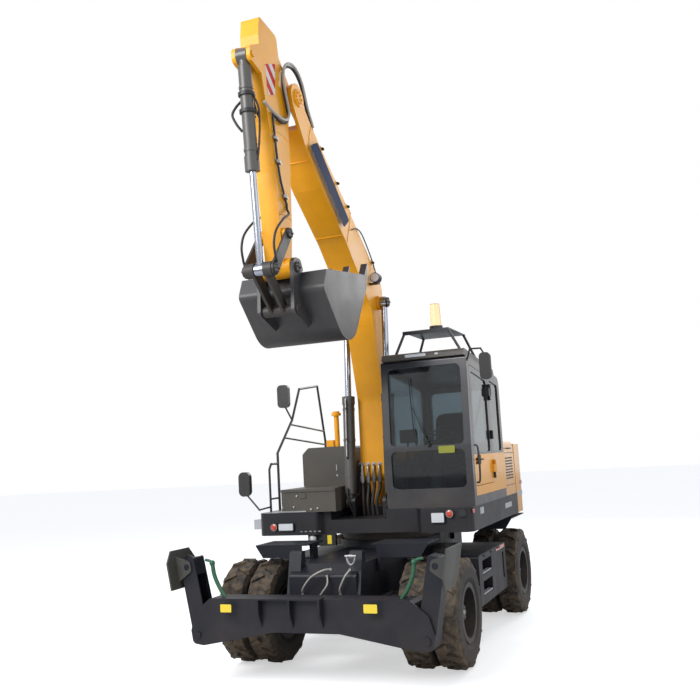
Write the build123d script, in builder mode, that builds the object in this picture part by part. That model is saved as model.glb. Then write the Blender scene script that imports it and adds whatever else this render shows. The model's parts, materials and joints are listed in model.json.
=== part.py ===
from build123d import *
import math
import os

# Lengths are in millimetres. +X is the machine's left, where its cab is, -Y its front and +Z up.
# The origin is on the ground, below the middle of the machine's length with its arm folded.

# Clearances
TURN_GAP = 0.3
SEAT_GAP = 0.1
SIDE_GAP = 2.0
MOVING_GAP = 6.0

# Axles and wheels
FRONT_AXLE_Y = -850
WHEELBASE = 2850
HALF_TRACK = 970
TWIN_SPACING = 320
TYRE_DIAMETER = 1055
TYRE_WIDTH = 280
TREAD_CORNER = 22
LUG_HEIGHT = 28
LUG_THICKNESS = 46
LUG_COUNT = 14
LUG_SLANT = 32
BEAD_DIAMETER = 530
BEAD_WIDTH = 230
RIM_THICKNESS = 27
RIM_FLANGE = 22
FLANGE_WIDTH = 11
WHEEL_DISC = 32
HUB_DIAMETER = 300
HUB_INNER_FACE = 670
HUB_LENGTH = 530
AXLE_DIAMETER = 200
KINGPIN_X = 600
KINGPIN_DIAMETER = 90
KNUCKLE_DIAMETER = 130
KNUCKLE_HEIGHT = 280
YOKE_THICKNESS = 38
YOKE_BACK_X = 500

# Chassis
CHASSIS_HALF_WIDTH = 350
CHASSIS_TOP = 1060
CHASSIS_BOTTOM = 690
CHASSIS_FRONT_Y = -1500
CHASSIS_REAR_OVERHANG = 470
STEERING_ROOM = 282
BOX_OUTER_X = 1180
POST_INNER_X = 254
POST_WIDTH = 130
POST_TOP = 1190
TYRE_ROOM = 142
MUDGUARD_Z = 1205
MUDGUARD_PLATE = 12
FLAP_HEIGHT = 120
SLEW_Y = 550
SLEW_OUTER_RADIUS = 560
SLEW_INNER_RADIUS = 430

# Front stabiliser
BEAM_FRONT_Y = -1910
BEAM_DEPTH = 240
BEAM_PLATE = 20
BEAM_TOP = 820
BEAM_HALF_LENGTH = 1215
RIB_PLACES = (-465, -145, 155)
RIB_DEPTH = 70
LEG_PIVOT_X = 1140
LEG_PIVOT_Z = 480
LEG_PIN_DIAMETER = 70
LEG_LENGTH = 640
LEG_LEAN = 10
LEG_BASE_RADIUS = 95
LEG_TIP_RADIUS = 80
LEG_PLATE = 14
PAD_LENGTH = 500
PAD_WIDTH = 370
PAD_PLATE = 16
PAD_PIN_HEIGHT = 112
PAD_EAR = 16

# Upper structure
DECK_BOTTOM = 1250
DECK_TOP = 1500
WELL_FLOOR = 1400
DECK_FRONT_Y = -420
DECK_HALF_WIDTH = 1240
DECK_CORNER = 130
TAIL_Y = 2650
TAIL_CORNER_Y = 2480
HOOD_FRONT_Y = 1412
HOOD_REAR_Y = 2050
HOOD_TOP = 2175
HOOD_WALL = 30
HOOD_INSET = 10
SPINE_LOW_X = -430
SPINE_TOP = 2040
COUNTERWEIGHT_TOP = 2130
WALKWAY = 250
TANK_FRONT_Y = 330
TANK_TOP = 2215
LOCKER_TOP = 1755
RAIL = 30

# Cab
CAB_INNER_X = 262
CAB_OUTER_X = 1240
CAB_FRONT_Y = -240
CAB_REAR_Y = 1390
CAB_EAVES = 3115
CAB_REAR_EAVES = 2950
CAB_KINK = 2150
CAB_FLOOR = 1640
CAB_WALL = 60
SHIELD_LEAN = 50
SILL = 2060
EAVES_BAND = 85
PILLAR = 75
ROOF_THICKNESS = 80
DOOR_FRONT_Y = -150
DOOR_REAR_Y = 740
DOOR_BOTTOM = 1700
DOOR_GAP = 6
GLASS = 6
HINGE_OUT = 24
HINGE_BACK = 12
HINGE_DIAMETER = 30
HINGE_LENGTH = 90
HINGE_HEIGHTS = (1820, 2700)
SEAT_HEIGHT = 400
GUARD_Z = 3430
GUARD_PLATE = 8
GUARD_LOW = (520, -120)
GUARD_HIGH = (1050, 640)
BEACON = (850, 100)
BEACON_DIAMETER = 124
BEACON_HEIGHT = 320
BEACON_BASE = 66
MIRROR_HEIGHT = 285

# Arm: every pivot is (y, z) in the arm's own plane
ARM_X = -65
BOOM_HALF_WIDTH = 165
STICK_HALF_WIDTH = 95
FORK_INNER = 130
BOOM_FOOT = (410, 1900)
STICK_PIVOT = (-1735, 5655)
LIFT_BASE = (120, 1560)
LIFT_EYE = (295, 3880)
CROWD_BASE = (-300, 4850)
CROWD_EYE = (-2160, 6120)
CURL_BASE = (-2530, 5790)
CURL_EYE = (-2372, 3810)
BUCKET_PIVOT = (-1995, 3885)
ROCKER_PIVOT = (-2050, 4205)
BUCKET_LINK = (-2024, 3483)

BOOM_PIN = 90
ARM_PIN = 60
LIFT_OFFSET = 245
TIP_RADIUS = 145
FORK_DEPTH = 310
LIFT_BARREL = 136
LIFT_BARREL_LENGTH = 1230
LIFT_ROD = 74
LIFT_EYE_WIDTH = 80
LIFT_EAR_RADIUS = 75
CROWD_BARREL = 136
CROWD_BARREL_LENGTH = 1240
CROWD_ROD = 76
CURL_BARREL = 124
CURL_BASE_WIDTH = 108
CURL_BARREL_LENGTH = 1075
CURL_ROD = 66
EYE_WIDTH = 92
TUBE_START = 100
EAR = 28
ROCKER_INNER = 134
ROCKER_PLATE = 20
BUCKET_EAR_INNER = 158
BUCKET_EAR = 34
BUCKET_WIDTH = 900
BUCKET_WALL = 20
TOOTH_COUNT = 5


def block(low, high, mode=Mode.ADD):
    """A box from its lowest to its highest corner."""
    with Locations(low):
        Box(high[0] - low[0], high[1] - low[1], high[2] - low[2],
            align=(Align.MIN, Align.MIN, Align.MIN), mode=mode)


def plate(plane, rows, amount, mode=Mode.ADD):
    """A plate cut to an outline; each row is one corner: (across, up, corner radius)."""
    with BuildSketch(plane) as face:
        with BuildLine():
            FilletPolyline(*[(a, b) for a, b, _ in rows], radius=[r for _, _, r in rows], close=True)
        make_face()
    extrude(face.sketch, amount=amount, mode=mode)


def side_plate(rows, x_low, width, mode=Mode.ADD):
    """A plate seen from the side, rows (y, z, corner radius), from x_low towards the left."""
    plate(Plane.YZ.offset(x_low), rows, width, mode)


def front_plate(rows, y_back, depth, mode=Mode.ADD):
    """A plate seen from the front, rows (x, z, corner radius), from y_back towards the front."""
    plate(Plane.XZ.offset(-y_back), rows, depth, mode)


def floor_plate(rows, z_low, height, mode=Mode.ADD):
    """A plate seen from above, rows (x, y, corner radius), from z_low upwards."""
    plate(Plane.XY.offset(z_low), rows, height, mode)


def bar(start, end, diameter, mode=Mode.ADD):
    """A round bar between two points."""
    axis = Vector(*end) - Vector(*start)
    with BuildSketch(Plane(origin=start, z_dir=axis)) as disc:
        Circle(diameter / 2)
    extrude(disc.sketch, amount=axis.length, mode=mode)


def cross_bar(pivot, x_low, x_high, diameter, mode=Mode.ADD):
    """A round bar across the machine through a pivot (y, z)."""
    bar((x_low, pivot[0], pivot[1]), (x_high, pivot[0], pivot[1]), diameter, mode)


def turned(y, z, rows, side=1, x_centre=0):
    """A ring turned about an axle across the machine; each row is (out from centre, radius)."""
    with BuildSketch(Plane(origin=(0, y, z), x_dir=(1, 0, 0), z_dir=(0, -1, 0))) as face:
        with BuildLine():
            Polyline(*[(side * (x_centre + x), r) for x, r in rows], close=True)
        make_face()
    revolve(face.sketch, axis=Axis((0, y, z), (1, 0, 0)))


def along(base, eye, distance):
    """The point on the line from base to eye at a distance from base, (y, z)."""
    length = math.dist(base, eye)
    share = distance / length
    return (base[0] + share * (eye[0] - base[0]), base[1] + share * (eye[1] - base[1]))


def at_x(x, point):
    """A point (y, z) of the arm's plane at its place across the machine."""
    return (x, point[0], point[1])


def export(piece, label):
    """Name a finished piece and write it."""
    piece.part.label = label
    export_step(piece.part, f"parts/{label}.step")


os.makedirs("parts", exist_ok=True)
AXLE_Z = TYRE_DIAMETER / 2
REAR_AXLE_Y = FRONT_AXLE_Y + WHEELBASE
CHASSIS_REAR_Y = REAR_AXLE_Y + CHASSIS_REAR_OVERHANG
LEFT_SIDE = (1, "left")
RIGHT_SIDE = (-1, "right")

# Wheels: two tyres and two rims on one hub, at each end of both axles
bead_half = BEAD_WIDTH / 2
tyre_half = TYRE_WIDTH / 2
tyre_radius = TYRE_DIAMETER / 2
bead_radius = BEAD_DIAMETER / 2
groove_radius = tyre_radius - LUG_HEIGHT
TYRE_ROWS = [
    (-bead_half, bead_radius + TURN_GAP),
    (-bead_half, bead_radius + RIM_FLANGE + 8),
    (-tyre_half, bead_radius + 70),
    (-tyre_half, tyre_radius - 90),
    (-tyre_half + TREAD_CORNER, groove_radius),
    (tyre_half - TREAD_CORNER, groove_radius),
    (tyre_half, tyre_radius - 90),
    (tyre_half, bead_radius + 70),
    (bead_half, bead_radius + RIM_FLANGE + 8),
    (bead_half, bead_radius + TURN_GAP),
]
rim_inner = bead_radius - RIM_THICKNESS
twin = TWIN_SPACING / 2
hub_radius = HUB_DIAMETER / 2
RIM_ROWS = [
    (0, hub_radius - 30),
    (WHEEL_DISC / 2, hub_radius - 30),
    (WHEEL_DISC / 2, hub_radius + 35),
    (twin - bead_half + 20, rim_inner),
    (twin + bead_half + FLANGE_WIDTH, rim_inner),
    (twin + bead_half + FLANGE_WIDTH, bead_radius + RIM_FLANGE),
    (twin + bead_half + TURN_GAP, bead_radius + RIM_FLANGE),
    (twin + bead_half + TURN_GAP, bead_radius),
    (twin - bead_half - TURN_GAP, bead_radius),
    (twin - bead_half - TURN_GAP, bead_radius + RIM_FLANGE),
    (twin - bead_half - FLANGE_WIDTH, bead_radius + RIM_FLANGE),
    (twin - bead_half - FLANGE_WIDTH, rim_inner - 12),
    (0, hub_radius + 45),
]
hub_start = HUB_INNER_FACE - HALF_TRACK
HUB_ROWS = [
    (hub_start, 0),
    (hub_start, hub_radius),
    (60, hub_radius),
    (60, hub_radius - 30),
    (hub_start + HUB_LENGTH - 50, hub_radius - 45),
    (hub_start + HUB_LENGTH, hub_radius - 80),
    (hub_start + HUB_LENGTH, 0),
]
lug_turn = math.radians(LUG_SLANT)


def lug_top(out):
    """A lug's height above the axle where its corners just reach the tyre's radius."""
    sideways = abs(out) * math.sin(lug_turn) + LUG_THICKNESS / 2 * math.cos(lug_turn)
    return math.sqrt(tyre_radius ** 2 - sideways ** 2)


# One tyre about the origin: a turned body and two staggered rows of slanted lugs
lug_end = (tyre_half - 3 - LUG_THICKNESS / 2 * math.sin(lug_turn)) / math.cos(lug_turn)
shoulder_out = lug_end - 28
LUG_ROWS = [
    (-8, groove_radius - 12), (-8, lug_top(8)), (shoulder_out, lug_top(shoulder_out)),
    (lug_end, lug_top(shoulder_out) - 40), (lug_end, tyre_radius - 84), (shoulder_out - 60, groove_radius - 40),
]
with BuildPart() as one_tyre:
    turned(0, 0, TYRE_ROWS)
    for number in range(2 * LUG_COUNT):
        half = 1 if number % 2 else -1
        turn = math.pi * number / LUG_COUNT
        outward = Vector(0, math.cos(turn), math.sin(turn))
        forward = Vector(0, -math.sin(turn), math.cos(turn))
        run = Vector(half, 0, 0) * math.cos(lug_turn) + forward * math.sin(lug_turn)
        with BuildSketch(Plane(origin=(0, 0, 0), x_dir=run, z_dir=run.cross(outward))) as lug:
            with BuildLine():
                Polyline(*LUG_ROWS, close=True)
            make_face()
        extrude(lug.sketch, amount=LUG_THICKNESS / 2, both=True)

for axle_y, end in ((FRONT_AXLE_Y, "front"), (REAR_AXLE_Y, "rear")):
    for side, name in (LEFT_SIDE, RIGHT_SIDE):
        with BuildPart() as tyres:
            with Locations(*[(side * (HALF_TRACK + place), axle_y, AXLE_Z) for place in (-twin, twin)]):
                add(one_tyre.part)
        export(tyres, f"tyres_{end}_{name}")

        with BuildPart() as rims:
            turned(axle_y, AXLE_Z, HUB_ROWS, side, HALF_TRACK)
            turned(axle_y, AXLE_Z, RIM_ROWS, side, HALF_TRACK)
            turned(axle_y, AXLE_Z, [(-x, r) for x, r in RIM_ROWS], side, HALF_TRACK)
        export(rims, f"rims_{end}_{name}")

# Rear axle: a straight housing under the chassis
with BuildPart() as rear_axle:
    axle_end = HUB_INNER_FACE - TURN_GAP
    bar((-axle_end, REAR_AXLE_Y, AXLE_Z), (axle_end, REAR_AXLE_Y, AXLE_Z), AXLE_DIAMETER)
    bar((-130, REAR_AXLE_Y, AXLE_Z), (130, REAR_AXLE_Y, AXLE_Z), 310)
    for side, _ in (LEFT_SIDE, RIGHT_SIDE):
        block((side * 235 - 75, REAR_AXLE_Y - 80, AXLE_Z), (side * 235 + 75, REAR_AXLE_Y + 80, CHASSIS_BOTTOM))
        bar((side * (axle_end - 60), REAR_AXLE_Y, AXLE_Z), (side * axle_end, REAR_AXLE_Y, AXLE_Z), 260)
export(rear_axle, "rear_axle")

# Front axle: its housing ends in a yoke round each kingpin
yoke_low = AXLE_Z - KNUCKLE_HEIGHT / 2 - TURN_GAP
yoke_high = AXLE_Z + KNUCKLE_HEIGHT / 2 + TURN_GAP
with BuildPart() as front_axle:
    bar((-YOKE_BACK_X, FRONT_AXLE_Y, AXLE_Z), (YOKE_BACK_X, FRONT_AXLE_Y, AXLE_Z), AXLE_DIAMETER)
    bar((-130, FRONT_AXLE_Y, AXLE_Z), (130, FRONT_AXLE_Y, AXLE_Z), 310)
    block((-110, FRONT_AXLE_Y - 130, AXLE_Z), (110, FRONT_AXLE_Y + 130, CHASSIS_BOTTOM))
    for side, _ in (LEFT_SIDE, RIGHT_SIDE):
        plate(Plane.XZ.offset(-FRONT_AXLE_Y - 62), [
            (side * (YOKE_BACK_X - 110), AXLE_Z - 60, 0),
            (side * (YOKE_BACK_X - 30), yoke_low - YOKE_THICKNESS, 0),
            (side * YOKE_BACK_X, yoke_low - YOKE_THICKNESS, 0),
            (side * YOKE_BACK_X, yoke_high + YOKE_THICKNESS, 0),
            (side * (YOKE_BACK_X - 30), yoke_high + YOKE_THICKNESS, 0),
            (side * (YOKE_BACK_X - 110), AXLE_Z + 60, 0),
        ], 124)
        for level in (yoke_low - YOKE_THICKNESS, yoke_high):
            low_x, high_x = sorted((side * (YOKE_BACK_X - 30), side * KINGPIN_X))
            block((low_x, FRONT_AXLE_Y - 62, level), (high_x, FRONT_AXLE_Y + 62, level + YOKE_THICKNESS))
            bar((side * KINGPIN_X, FRONT_AXLE_Y, level), (side * KINGPIN_X, FRONT_AXLE_Y, level + YOKE_THICKNESS),
                KNUCKLE_DIAMETER - 6)
export(front_axle, "front_axle")

# Steering knuckles, turning on the kingpins inside the yokes
for side, name in (LEFT_SIDE, RIGHT_SIDE):
    with BuildPart() as knuckle:
        bar((side * KINGPIN_X, FRONT_AXLE_Y, AXLE_Z - KNUCKLE_HEIGHT / 2),
            (side * KINGPIN_X, FRONT_AXLE_Y, AXLE_Z + KNUCKLE_HEIGHT / 2), KNUCKLE_DIAMETER)
        bar((side * KINGPIN_X, FRONT_AXLE_Y, AXLE_Z), (side * (HUB_INNER_FACE - TURN_GAP), FRONT_AXLE_Y, AXLE_Z), 220)
        bar((side * (HUB_INNER_FACE - 30), FRONT_AXLE_Y, AXLE_Z),
            (side * (HUB_INNER_FACE - TURN_GAP), FRONT_AXLE_Y, AXLE_Z), 264)
    export(knuckle, f"knuckle_{name}")

# Chassis frame: one box girder, waisted above the front wheels
CHASSIS_SIDE_ROWS = [
    (CHASSIS_FRONT_Y, CHASSIS_BOTTOM - 80, 40),
    (FRONT_AXLE_Y - 260, CHASSIS_BOTTOM, 60),
    (SLEW_Y - 700, CHASSIS_BOTTOM, 60),
    (SLEW_Y - 560, CHASSIS_BOTTOM - 110, 60),
    (REAR_AXLE_Y - 460, CHASSIS_BOTTOM - 110, 60),
    (REAR_AXLE_Y - 300, CHASSIS_BOTTOM, 60),
    (CHASSIS_REAR_Y, CHASSIS_BOTTOM, 40),
    (CHASSIS_REAR_Y, CHASSIS_TOP - 60, 40),
    (CHASSIS_REAR_Y - 200, CHASSIS_TOP, 60),
    (CHASSIS_FRONT_Y + 200, CHASSIS_TOP, 60),
    (CHASSIS_FRONT_Y, CHASSIS_TOP - 80, 40),
]
with BuildPart() as chassis_frame:
    side_plate(CHASSIS_SIDE_ROWS, -CHASSIS_HALF_WIDTH, 2 * CHASSIS_HALF_WIDTH)
    for side, _ in (LEFT_SIDE, RIGHT_SIDE):
        low_x, high_x = sorted((side * POST_INNER_X, side * (POST_INNER_X + POST_WIDTH)))
        side_plate([
            (CHASSIS_FRONT_Y - 10, CHASSIS_BOTTOM + 40, 0), (CHASSIS_FRONT_Y + 190, CHASSIS_BOTTOM + 40, 0),
            (CHASSIS_FRONT_Y + 190, POST_TOP, 20), (CHASSIS_FRONT_Y + 110, POST_TOP, 20),
        ], low_x, high_x - low_x)
    bar((0, SLEW_Y, CHASSIS_TOP), (0, SLEW_Y, CHASSIS_TOP + 80), 2 * SLEW_OUTER_RADIUS + 60)
export(chassis_frame, "chassis_frame")

# Slew ring on the chassis
with BuildPart() as slew_ring:
    ring_low = CHASSIS_TOP + 80
    bar((0, SLEW_Y, ring_low), (0, SLEW_Y, DECK_BOTTOM - TURN_GAP), 2 * SLEW_OUTER_RADIUS)
    bar((0, SLEW_Y, ring_low), (0, SLEW_Y, DECK_BOTTOM - TURN_GAP), 2 * SLEW_INNER_RADIUS, Mode.SUBTRACT)
export(slew_ring, "slew_ring")

# Drive line: gearbox under the frame and a shaft to each axle
with BuildPart() as drive_line:
    box_y = SLEW_Y + 350
    box_top = CHASSIS_BOTTOM - 110
    block((-150, box_y - 180, 400), (150, box_y + 180, box_top))
    bar((0, FRONT_AXLE_Y + 155 + TURN_GAP, AXLE_Z), (0, box_y - 180, AXLE_Z), 76)
    bar((0, box_y + 180, AXLE_Z), (0, REAR_AXLE_Y - 155 - TURN_GAP, AXLE_Z), 76)
export(drive_line, "drive_line")

# Stabiliser beam: a box with an arched lower edge, open at both ends for the legs
beam_rear_y = BEAM_FRONT_Y + BEAM_DEPTH
BEAM_ROWS = [
    (-1000, BEAM_TOP, 30), (-1170, 690, 60), (-BEAM_HALF_LENGTH, 520, 30), (-BEAM_HALF_LENGTH + 20, 400, 50),
    (-1080, 385, 60), (-330, 520, 80), (330, 520, 80), (1080, 385, 60), (BEAM_HALF_LENGTH - 20, 400, 50),
    (BEAM_HALF_LENGTH, 520, 30), (1170, 690, 60), (1000, BEAM_TOP, 30),
]
with BuildPart() as stabiliser_beam:
    front_plate(BEAM_ROWS, beam_rear_y, BEAM_DEPTH)
    for side, _ in (LEFT_SIDE, RIGHT_SIDE):
        inner_x = LEG_PIVOT_X - LEG_BASE_RADIUS - MOVING_GAP
        low_x, high_x = sorted((side * inner_x, side * (BEAM_HALF_LENGTH + 50)))
        block((low_x, BEAM_FRONT_Y + BEAM_PLATE, LEG_PIVOT_Z - LEG_BASE_RADIUS - 30),
              (high_x, beam_rear_y - BEAM_PLATE, BEAM_TOP + 10), Mode.SUBTRACT)
        bar((side * LEG_PIVOT_X, BEAM_FRONT_Y - 12, LEG_PIVOT_Z), (side * LEG_PIVOT_X, beam_rear_y + 12, LEG_PIVOT_Z),
            LEG_PIN_DIAMETER)
    # Saddle that bolts the beam to the chassis, and the ribs and lip on its front
    block((-POST_INNER_X - POST_WIDTH, beam_rear_y, CHASSIS_BOTTOM - 70),
          (POST_INNER_X + POST_WIDTH, CHASSIS_FRONT_Y - 10, BEAM_TOP - 20))
    for rib_x in RIB_PLACES:
        side_plate([
            (BEAM_FRONT_Y + 1, BEAM_TOP - 260, 0), (BEAM_FRONT_Y + 1, BEAM_TOP, 0),
            (BEAM_FRONT_Y - RIB_DEPTH, BEAM_TOP, 0), (BEAM_FRONT_Y - RIB_DEPTH, BEAM_TOP - 120, 30),
        ], rib_x, BEAM_PLATE)
    block((RIB_PLACES[0], BEAM_FRONT_Y - RIB_DEPTH, BEAM_TOP),
          (RIB_PLACES[-1] + BEAM_PLATE, BEAM_FRONT_Y + 40, BEAM_TOP + 14))
export(stabiliser_beam, "stabiliser_beam")

# Stabiliser legs, raised, and their foot pads
leg_y_low = BEAM_FRONT_Y + BEAM_PLATE + MOVING_GAP
leg_y_high = beam_rear_y - BEAM_PLATE - MOVING_GAP
lean = math.radians(LEG_LEAN)
leg_dir = (math.sin(lean), math.cos(lean))
leg_out = (math.cos(lean), -math.sin(lean))


def leg_point(side, up, out):
    """A point (x, z) measured from a leg's pivot along the leg and out from it."""
    x = LEG_PIVOT_X + up * leg_dir[0] + out * leg_out[0]
    return (side * x, LEG_PIVOT_Z + up * leg_dir[1] + out * leg_out[1])


for side, name in (LEFT_SIDE, RIGHT_SIDE):
    tip = leg_point(side, LEG_LENGTH, 0)
    with BuildPart() as leg:
        front_plate([
            (*leg_point(side, -LEG_BASE_RADIUS, -LEG_BASE_RADIUS), LEG_BASE_RADIUS - 5),
            (*leg_point(side, -LEG_BASE_RADIUS, LEG_BASE_RADIUS - 30), LEG_BASE_RADIUS - 35),
            (*leg_point(side, LEG_LENGTH + LEG_TIP_RADIUS, LEG_TIP_RADIUS), LEG_TIP_RADIUS - 10),
            (*leg_point(side, LEG_LENGTH + LEG_TIP_RADIUS, -LEG_TIP_RADIUS), 15),
            (*leg_point(side, LEG_LENGTH * 0.3, -LEG_BASE_RADIUS), 30),
        ], leg_y_high, leg_y_high - leg_y_low)
        plate(Plane.XZ.offset(-leg_y_high + LEG_PLATE), [
            (*leg_point(side, 150, -LEG_BASE_RADIUS - 60), 0),
            (*leg_point(side, 150, LEG_TIP_RADIUS - LEG_PLATE - 20), 0),
            (*leg_point(side, LEG_LENGTH - 90, LEG_TIP_RADIUS - LEG_PLATE), 0),
            (*leg_point(side, LEG_LENGTH - 90, -LEG_BASE_RADIUS - 60), 0),
        ], leg_y_high - leg_y_low - 2 * LEG_PLATE, Mode.SUBTRACT)
        pivot = leg_point(side, 0, 0)
        bar((pivot[0], leg_y_low, pivot[1]), (pivot[0], leg_y_high, pivot[1]), LEG_PIN_DIAMETER + 2 * TURN_GAP,
            Mode.SUBTRACT)
        bar((tip[0], leg_y_low - PAD_EAR - SIDE_GAP, tip[1]),
            (tip[0], leg_y_high + PAD_EAR + SIDE_GAP, tip[1]), ARM_PIN)
    export(leg, f"stabiliser_leg_{name}")

    with BuildPart() as pad:
        pad_plane = Plane(origin=(*[leg_point(side, LEG_LENGTH, PAD_PIN_HEIGHT)[0]],
                                  (leg_y_low + leg_y_high) / 2,
                                  leg_point(side, LEG_LENGTH, PAD_PIN_HEIGHT)[1]),
                          x_dir=(0, 1, 0), z_dir=(side * leg_out[0], 0, leg_out[1]))
        half_l = PAD_LENGTH / 2
        half_w = PAD_WIDTH / 2
        plate(pad_plane, [
            (-half_l, -half_w + 110, 0), (-half_l + 90, -half_w, 0), (half_l - 90, -half_w, 0),
            (half_l, -half_w + 110, 0), (half_l, half_w, 0), (-half_l, half_w, 0),
        ], PAD_PLATE)
        for y_low in (leg_y_low - SIDE_GAP - PAD_EAR, leg_y_high + SIDE_GAP):
            front_plate([
                (*leg_point(side, LEG_LENGTH - 120, PAD_PIN_HEIGHT), 0),
                (*leg_point(side, LEG_LENGTH - 45, -45), 40),
                (*leg_point(side, LEG_LENGTH + 45, -45), 40),
                (*leg_point(side, LEG_LENGTH + 120, PAD_PIN_HEIGHT), 0),
            ], y_low + PAD_EAR, PAD_EAR)
            bar((tip[0], y_low, tip[1]), (tip[0], y_low + PAD_EAR, tip[1]), ARM_PIN + 2 * TURN_GAP, Mode.SUBTRACT)
    export(pad, f"foot_pad_{name}")

# Side boxes between the wheels, each with two steps and a slot let into its outer face
BOX_STEPS = (520, 740)
box_front_y = FRONT_AXLE_Y + tyre_radius + STEERING_ROOM
box_rear_y = REAR_AXLE_Y - tyre_radius - TYRE_ROOM
for side, name in (LEFT_SIDE, RIGHT_SIDE):
    with BuildPart() as side_box:
        plate(Plane.YZ.offset(side * (CHASSIS_HALF_WIDTH + TURN_GAP)), [
            (box_front_y, 430, 30), (box_rear_y, 430, 30), (box_rear_y, 960, 30), (box_front_y, 960, 30),
        ], side * (BOX_OUTER_X - CHASSIS_HALF_WIDTH - TURN_GAP))
        for level in BOX_STEPS:
            low_x, high_x = sorted((side * (BOX_OUTER_X - 170), side * (BOX_OUTER_X + 20)))
            block((low_x, box_front_y + 160, level), (high_x, box_front_y + 600, level + 150), Mode.SUBTRACT)
        low_x, high_x = sorted((side * (BOX_OUTER_X - 40), side * (BOX_OUTER_X + 20)))
        block((low_x, box_rear_y - 190, 560), (high_x, box_rear_y - 120, 860), Mode.SUBTRACT)
    export(side_box, f"side_box_{name}")

# Mudguards above the wheels, each with a flap down its front edge
with BuildPart() as mudguards:
    for side, _ in (LEFT_SIDE, RIGHT_SIDE):
        for centre_y, half, outer_x in ((FRONT_AXLE_Y, 210, 940), (REAR_AXLE_Y, 420, 1230)):
            low_x, high_x = sorted((side * (CHASSIS_HALF_WIDTH + TURN_GAP), side * outer_x))
            block((low_x, centre_y - half, MUDGUARD_Z), (high_x, centre_y + half, MUDGUARD_Z + MUDGUARD_PLATE))
            low_x, high_x = sorted((side * (CHASSIS_HALF_WIDTH + TURN_GAP), side * (CHASSIS_HALF_WIDTH + 40)))
            block((low_x, centre_y - 60, CHASSIS_TOP - 120), (high_x, centre_y + 60, MUDGUARD_Z))
            front_plate([
                (side * (CHASSIS_HALF_WIDTH + 60), MUDGUARD_Z + 1, 0), (side * outer_x, MUDGUARD_Z + 1, 0),
                (side * (outer_x - 80), MUDGUARD_Z - FLAP_HEIGHT, 0),
                (side * (CHASSIS_HALF_WIDTH + 60), MUDGUARD_Z - FLAP_HEIGHT, 0),
            ], centre_y - half + MUDGUARD_PLATE, MUDGUARD_PLATE)
export(mudguards, "mudguards")

# Tow clevis at the rear, bored for an upright pin
with BuildPart() as tow_clevis:
    block((-70, CHASSIS_REAR_Y + TURN_GAP, 740), (70, CHASSIS_REAR_Y + 40, 920))
    for level in (770, 860):
        block((-50, CHASSIS_REAR_Y + 40, level), (50, CHASSIS_REAR_Y + 120, level + 30))
        bar((0, CHASSIS_REAR_Y + 120, level), (0, CHASSIS_REAR_Y + 120, level + 30), 100)
        bar((0, CHASSIS_REAR_Y + 120, level), (0, CHASSIS_REAR_Y + 120, level + 30), 42, Mode.SUBTRACT)
export(tow_clevis, "tow_clevis")

# Upper deck: the turning frame with the boom's foot brackets and a well between them
well_low_x = ARM_X - LIFT_OFFSET - LIFT_EYE_WIDTH
well_high_x = CAB_INNER_X
foot_inner = BOOM_HALF_WIDTH + SIDE_GAP
foot_plate = LIFT_OFFSET - LIFT_EYE_WIDTH / 2 - SIDE_GAP - foot_inner
with BuildPart() as upper_deck:
    floor_plate([
        (-DECK_HALF_WIDTH, DECK_FRONT_Y + 60, 60), (-DECK_HALF_WIDTH + 60, DECK_FRONT_Y, 60),
        (-520, DECK_FRONT_Y, 40), (-460, DECK_FRONT_Y + 120, 40),
        (620, DECK_FRONT_Y + 120, 40), (680, DECK_FRONT_Y, 40), (DECK_HALF_WIDTH - 60, DECK_FRONT_Y, 60),
        (DECK_HALF_WIDTH, DECK_FRONT_Y + 60, 60),
        (DECK_HALF_WIDTH, HOOD_REAR_Y, 0), (-DECK_HALF_WIDTH, HOOD_REAR_Y, 0),
    ], DECK_BOTTOM, DECK_TOP - DECK_BOTTOM)
    block((well_low_x, DECK_FRONT_Y, WELL_FLOOR), (well_high_x, 320, DECK_TOP + 10), Mode.SUBTRACT)
    for side, _ in (LEFT_SIDE, RIGHT_SIDE):
        low_x = ARM_X + (foot_inner if side > 0 else -foot_inner - foot_plate)
        ear = LIFT_EAR_RADIUS
        side_plate([
            (LIFT_BASE[0] - ear, WELL_FLOOR - 5, 0), (LIFT_BASE[0] - ear, LIFT_BASE[1] + ear, ear - 1),
            (LIFT_BASE[0] + ear + 20, LIFT_BASE[1] + ear, 40),
            (BOOM_FOOT[0] - 120, BOOM_FOOT[1] + 90, 60), (BOOM_FOOT[0] - 10, BOOM_FOOT[1] + 130, 110),
            (BOOM_FOOT[0] + 120, BOOM_FOOT[1] + 60, 90), (BOOM_FOOT[0] + 230, DECK_TOP, 0),
            (BOOM_FOOT[0] + 230, WELL_FLOOR - 5, 0),
        ], low_x, foot_plate)
    cross_bar(BOOM_FOOT, ARM_X - foot_inner - foot_plate, ARM_X + foot_inner + foot_plate, BOOM_PIN)
    for side, _ in (LEFT_SIDE, RIGHT_SIDE):
        low_x, high_x = sorted((ARM_X + side * foot_inner, ARM_X + side * (LIFT_OFFSET + LIFT_EYE_WIDTH / 2)))
        cross_bar(LIFT_BASE, low_x, high_x, ARM_PIN)
export(upper_deck, "upper_deck")

# Cab: a hollow shell with its windows and doorway cut through, each outline shared with its glass
cab_low_x = CAB_INNER_X
hinge_x = CAB_OUTER_X + HINGE_OUT
hinge_y = DOOR_REAR_Y + HINGE_BACK


def eaves(y):
    """The height of the cab's eaves, which fall towards its rear."""
    return CAB_EAVES + (CAB_REAR_EAVES - CAB_EAVES) * (y - CAB_FRONT_Y) / (CAB_REAR_Y - CAB_FRONT_Y)


shield_y = CAB_FRONT_Y + SHIELD_LEAN
slope = SHIELD_LEAN / (eaves(shield_y) - CAB_KINK)
stretch = math.hypot(1, slope)


def shield_plane(inward):
    """The upper windscreen's plane, a distance in from the cab's outer face."""
    return Plane(origin=(0, CAB_FRONT_Y, CAB_KINK), x_dir=(1, 0, 0), z_dir=(0, -1, slope)).offset(-inward)


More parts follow.
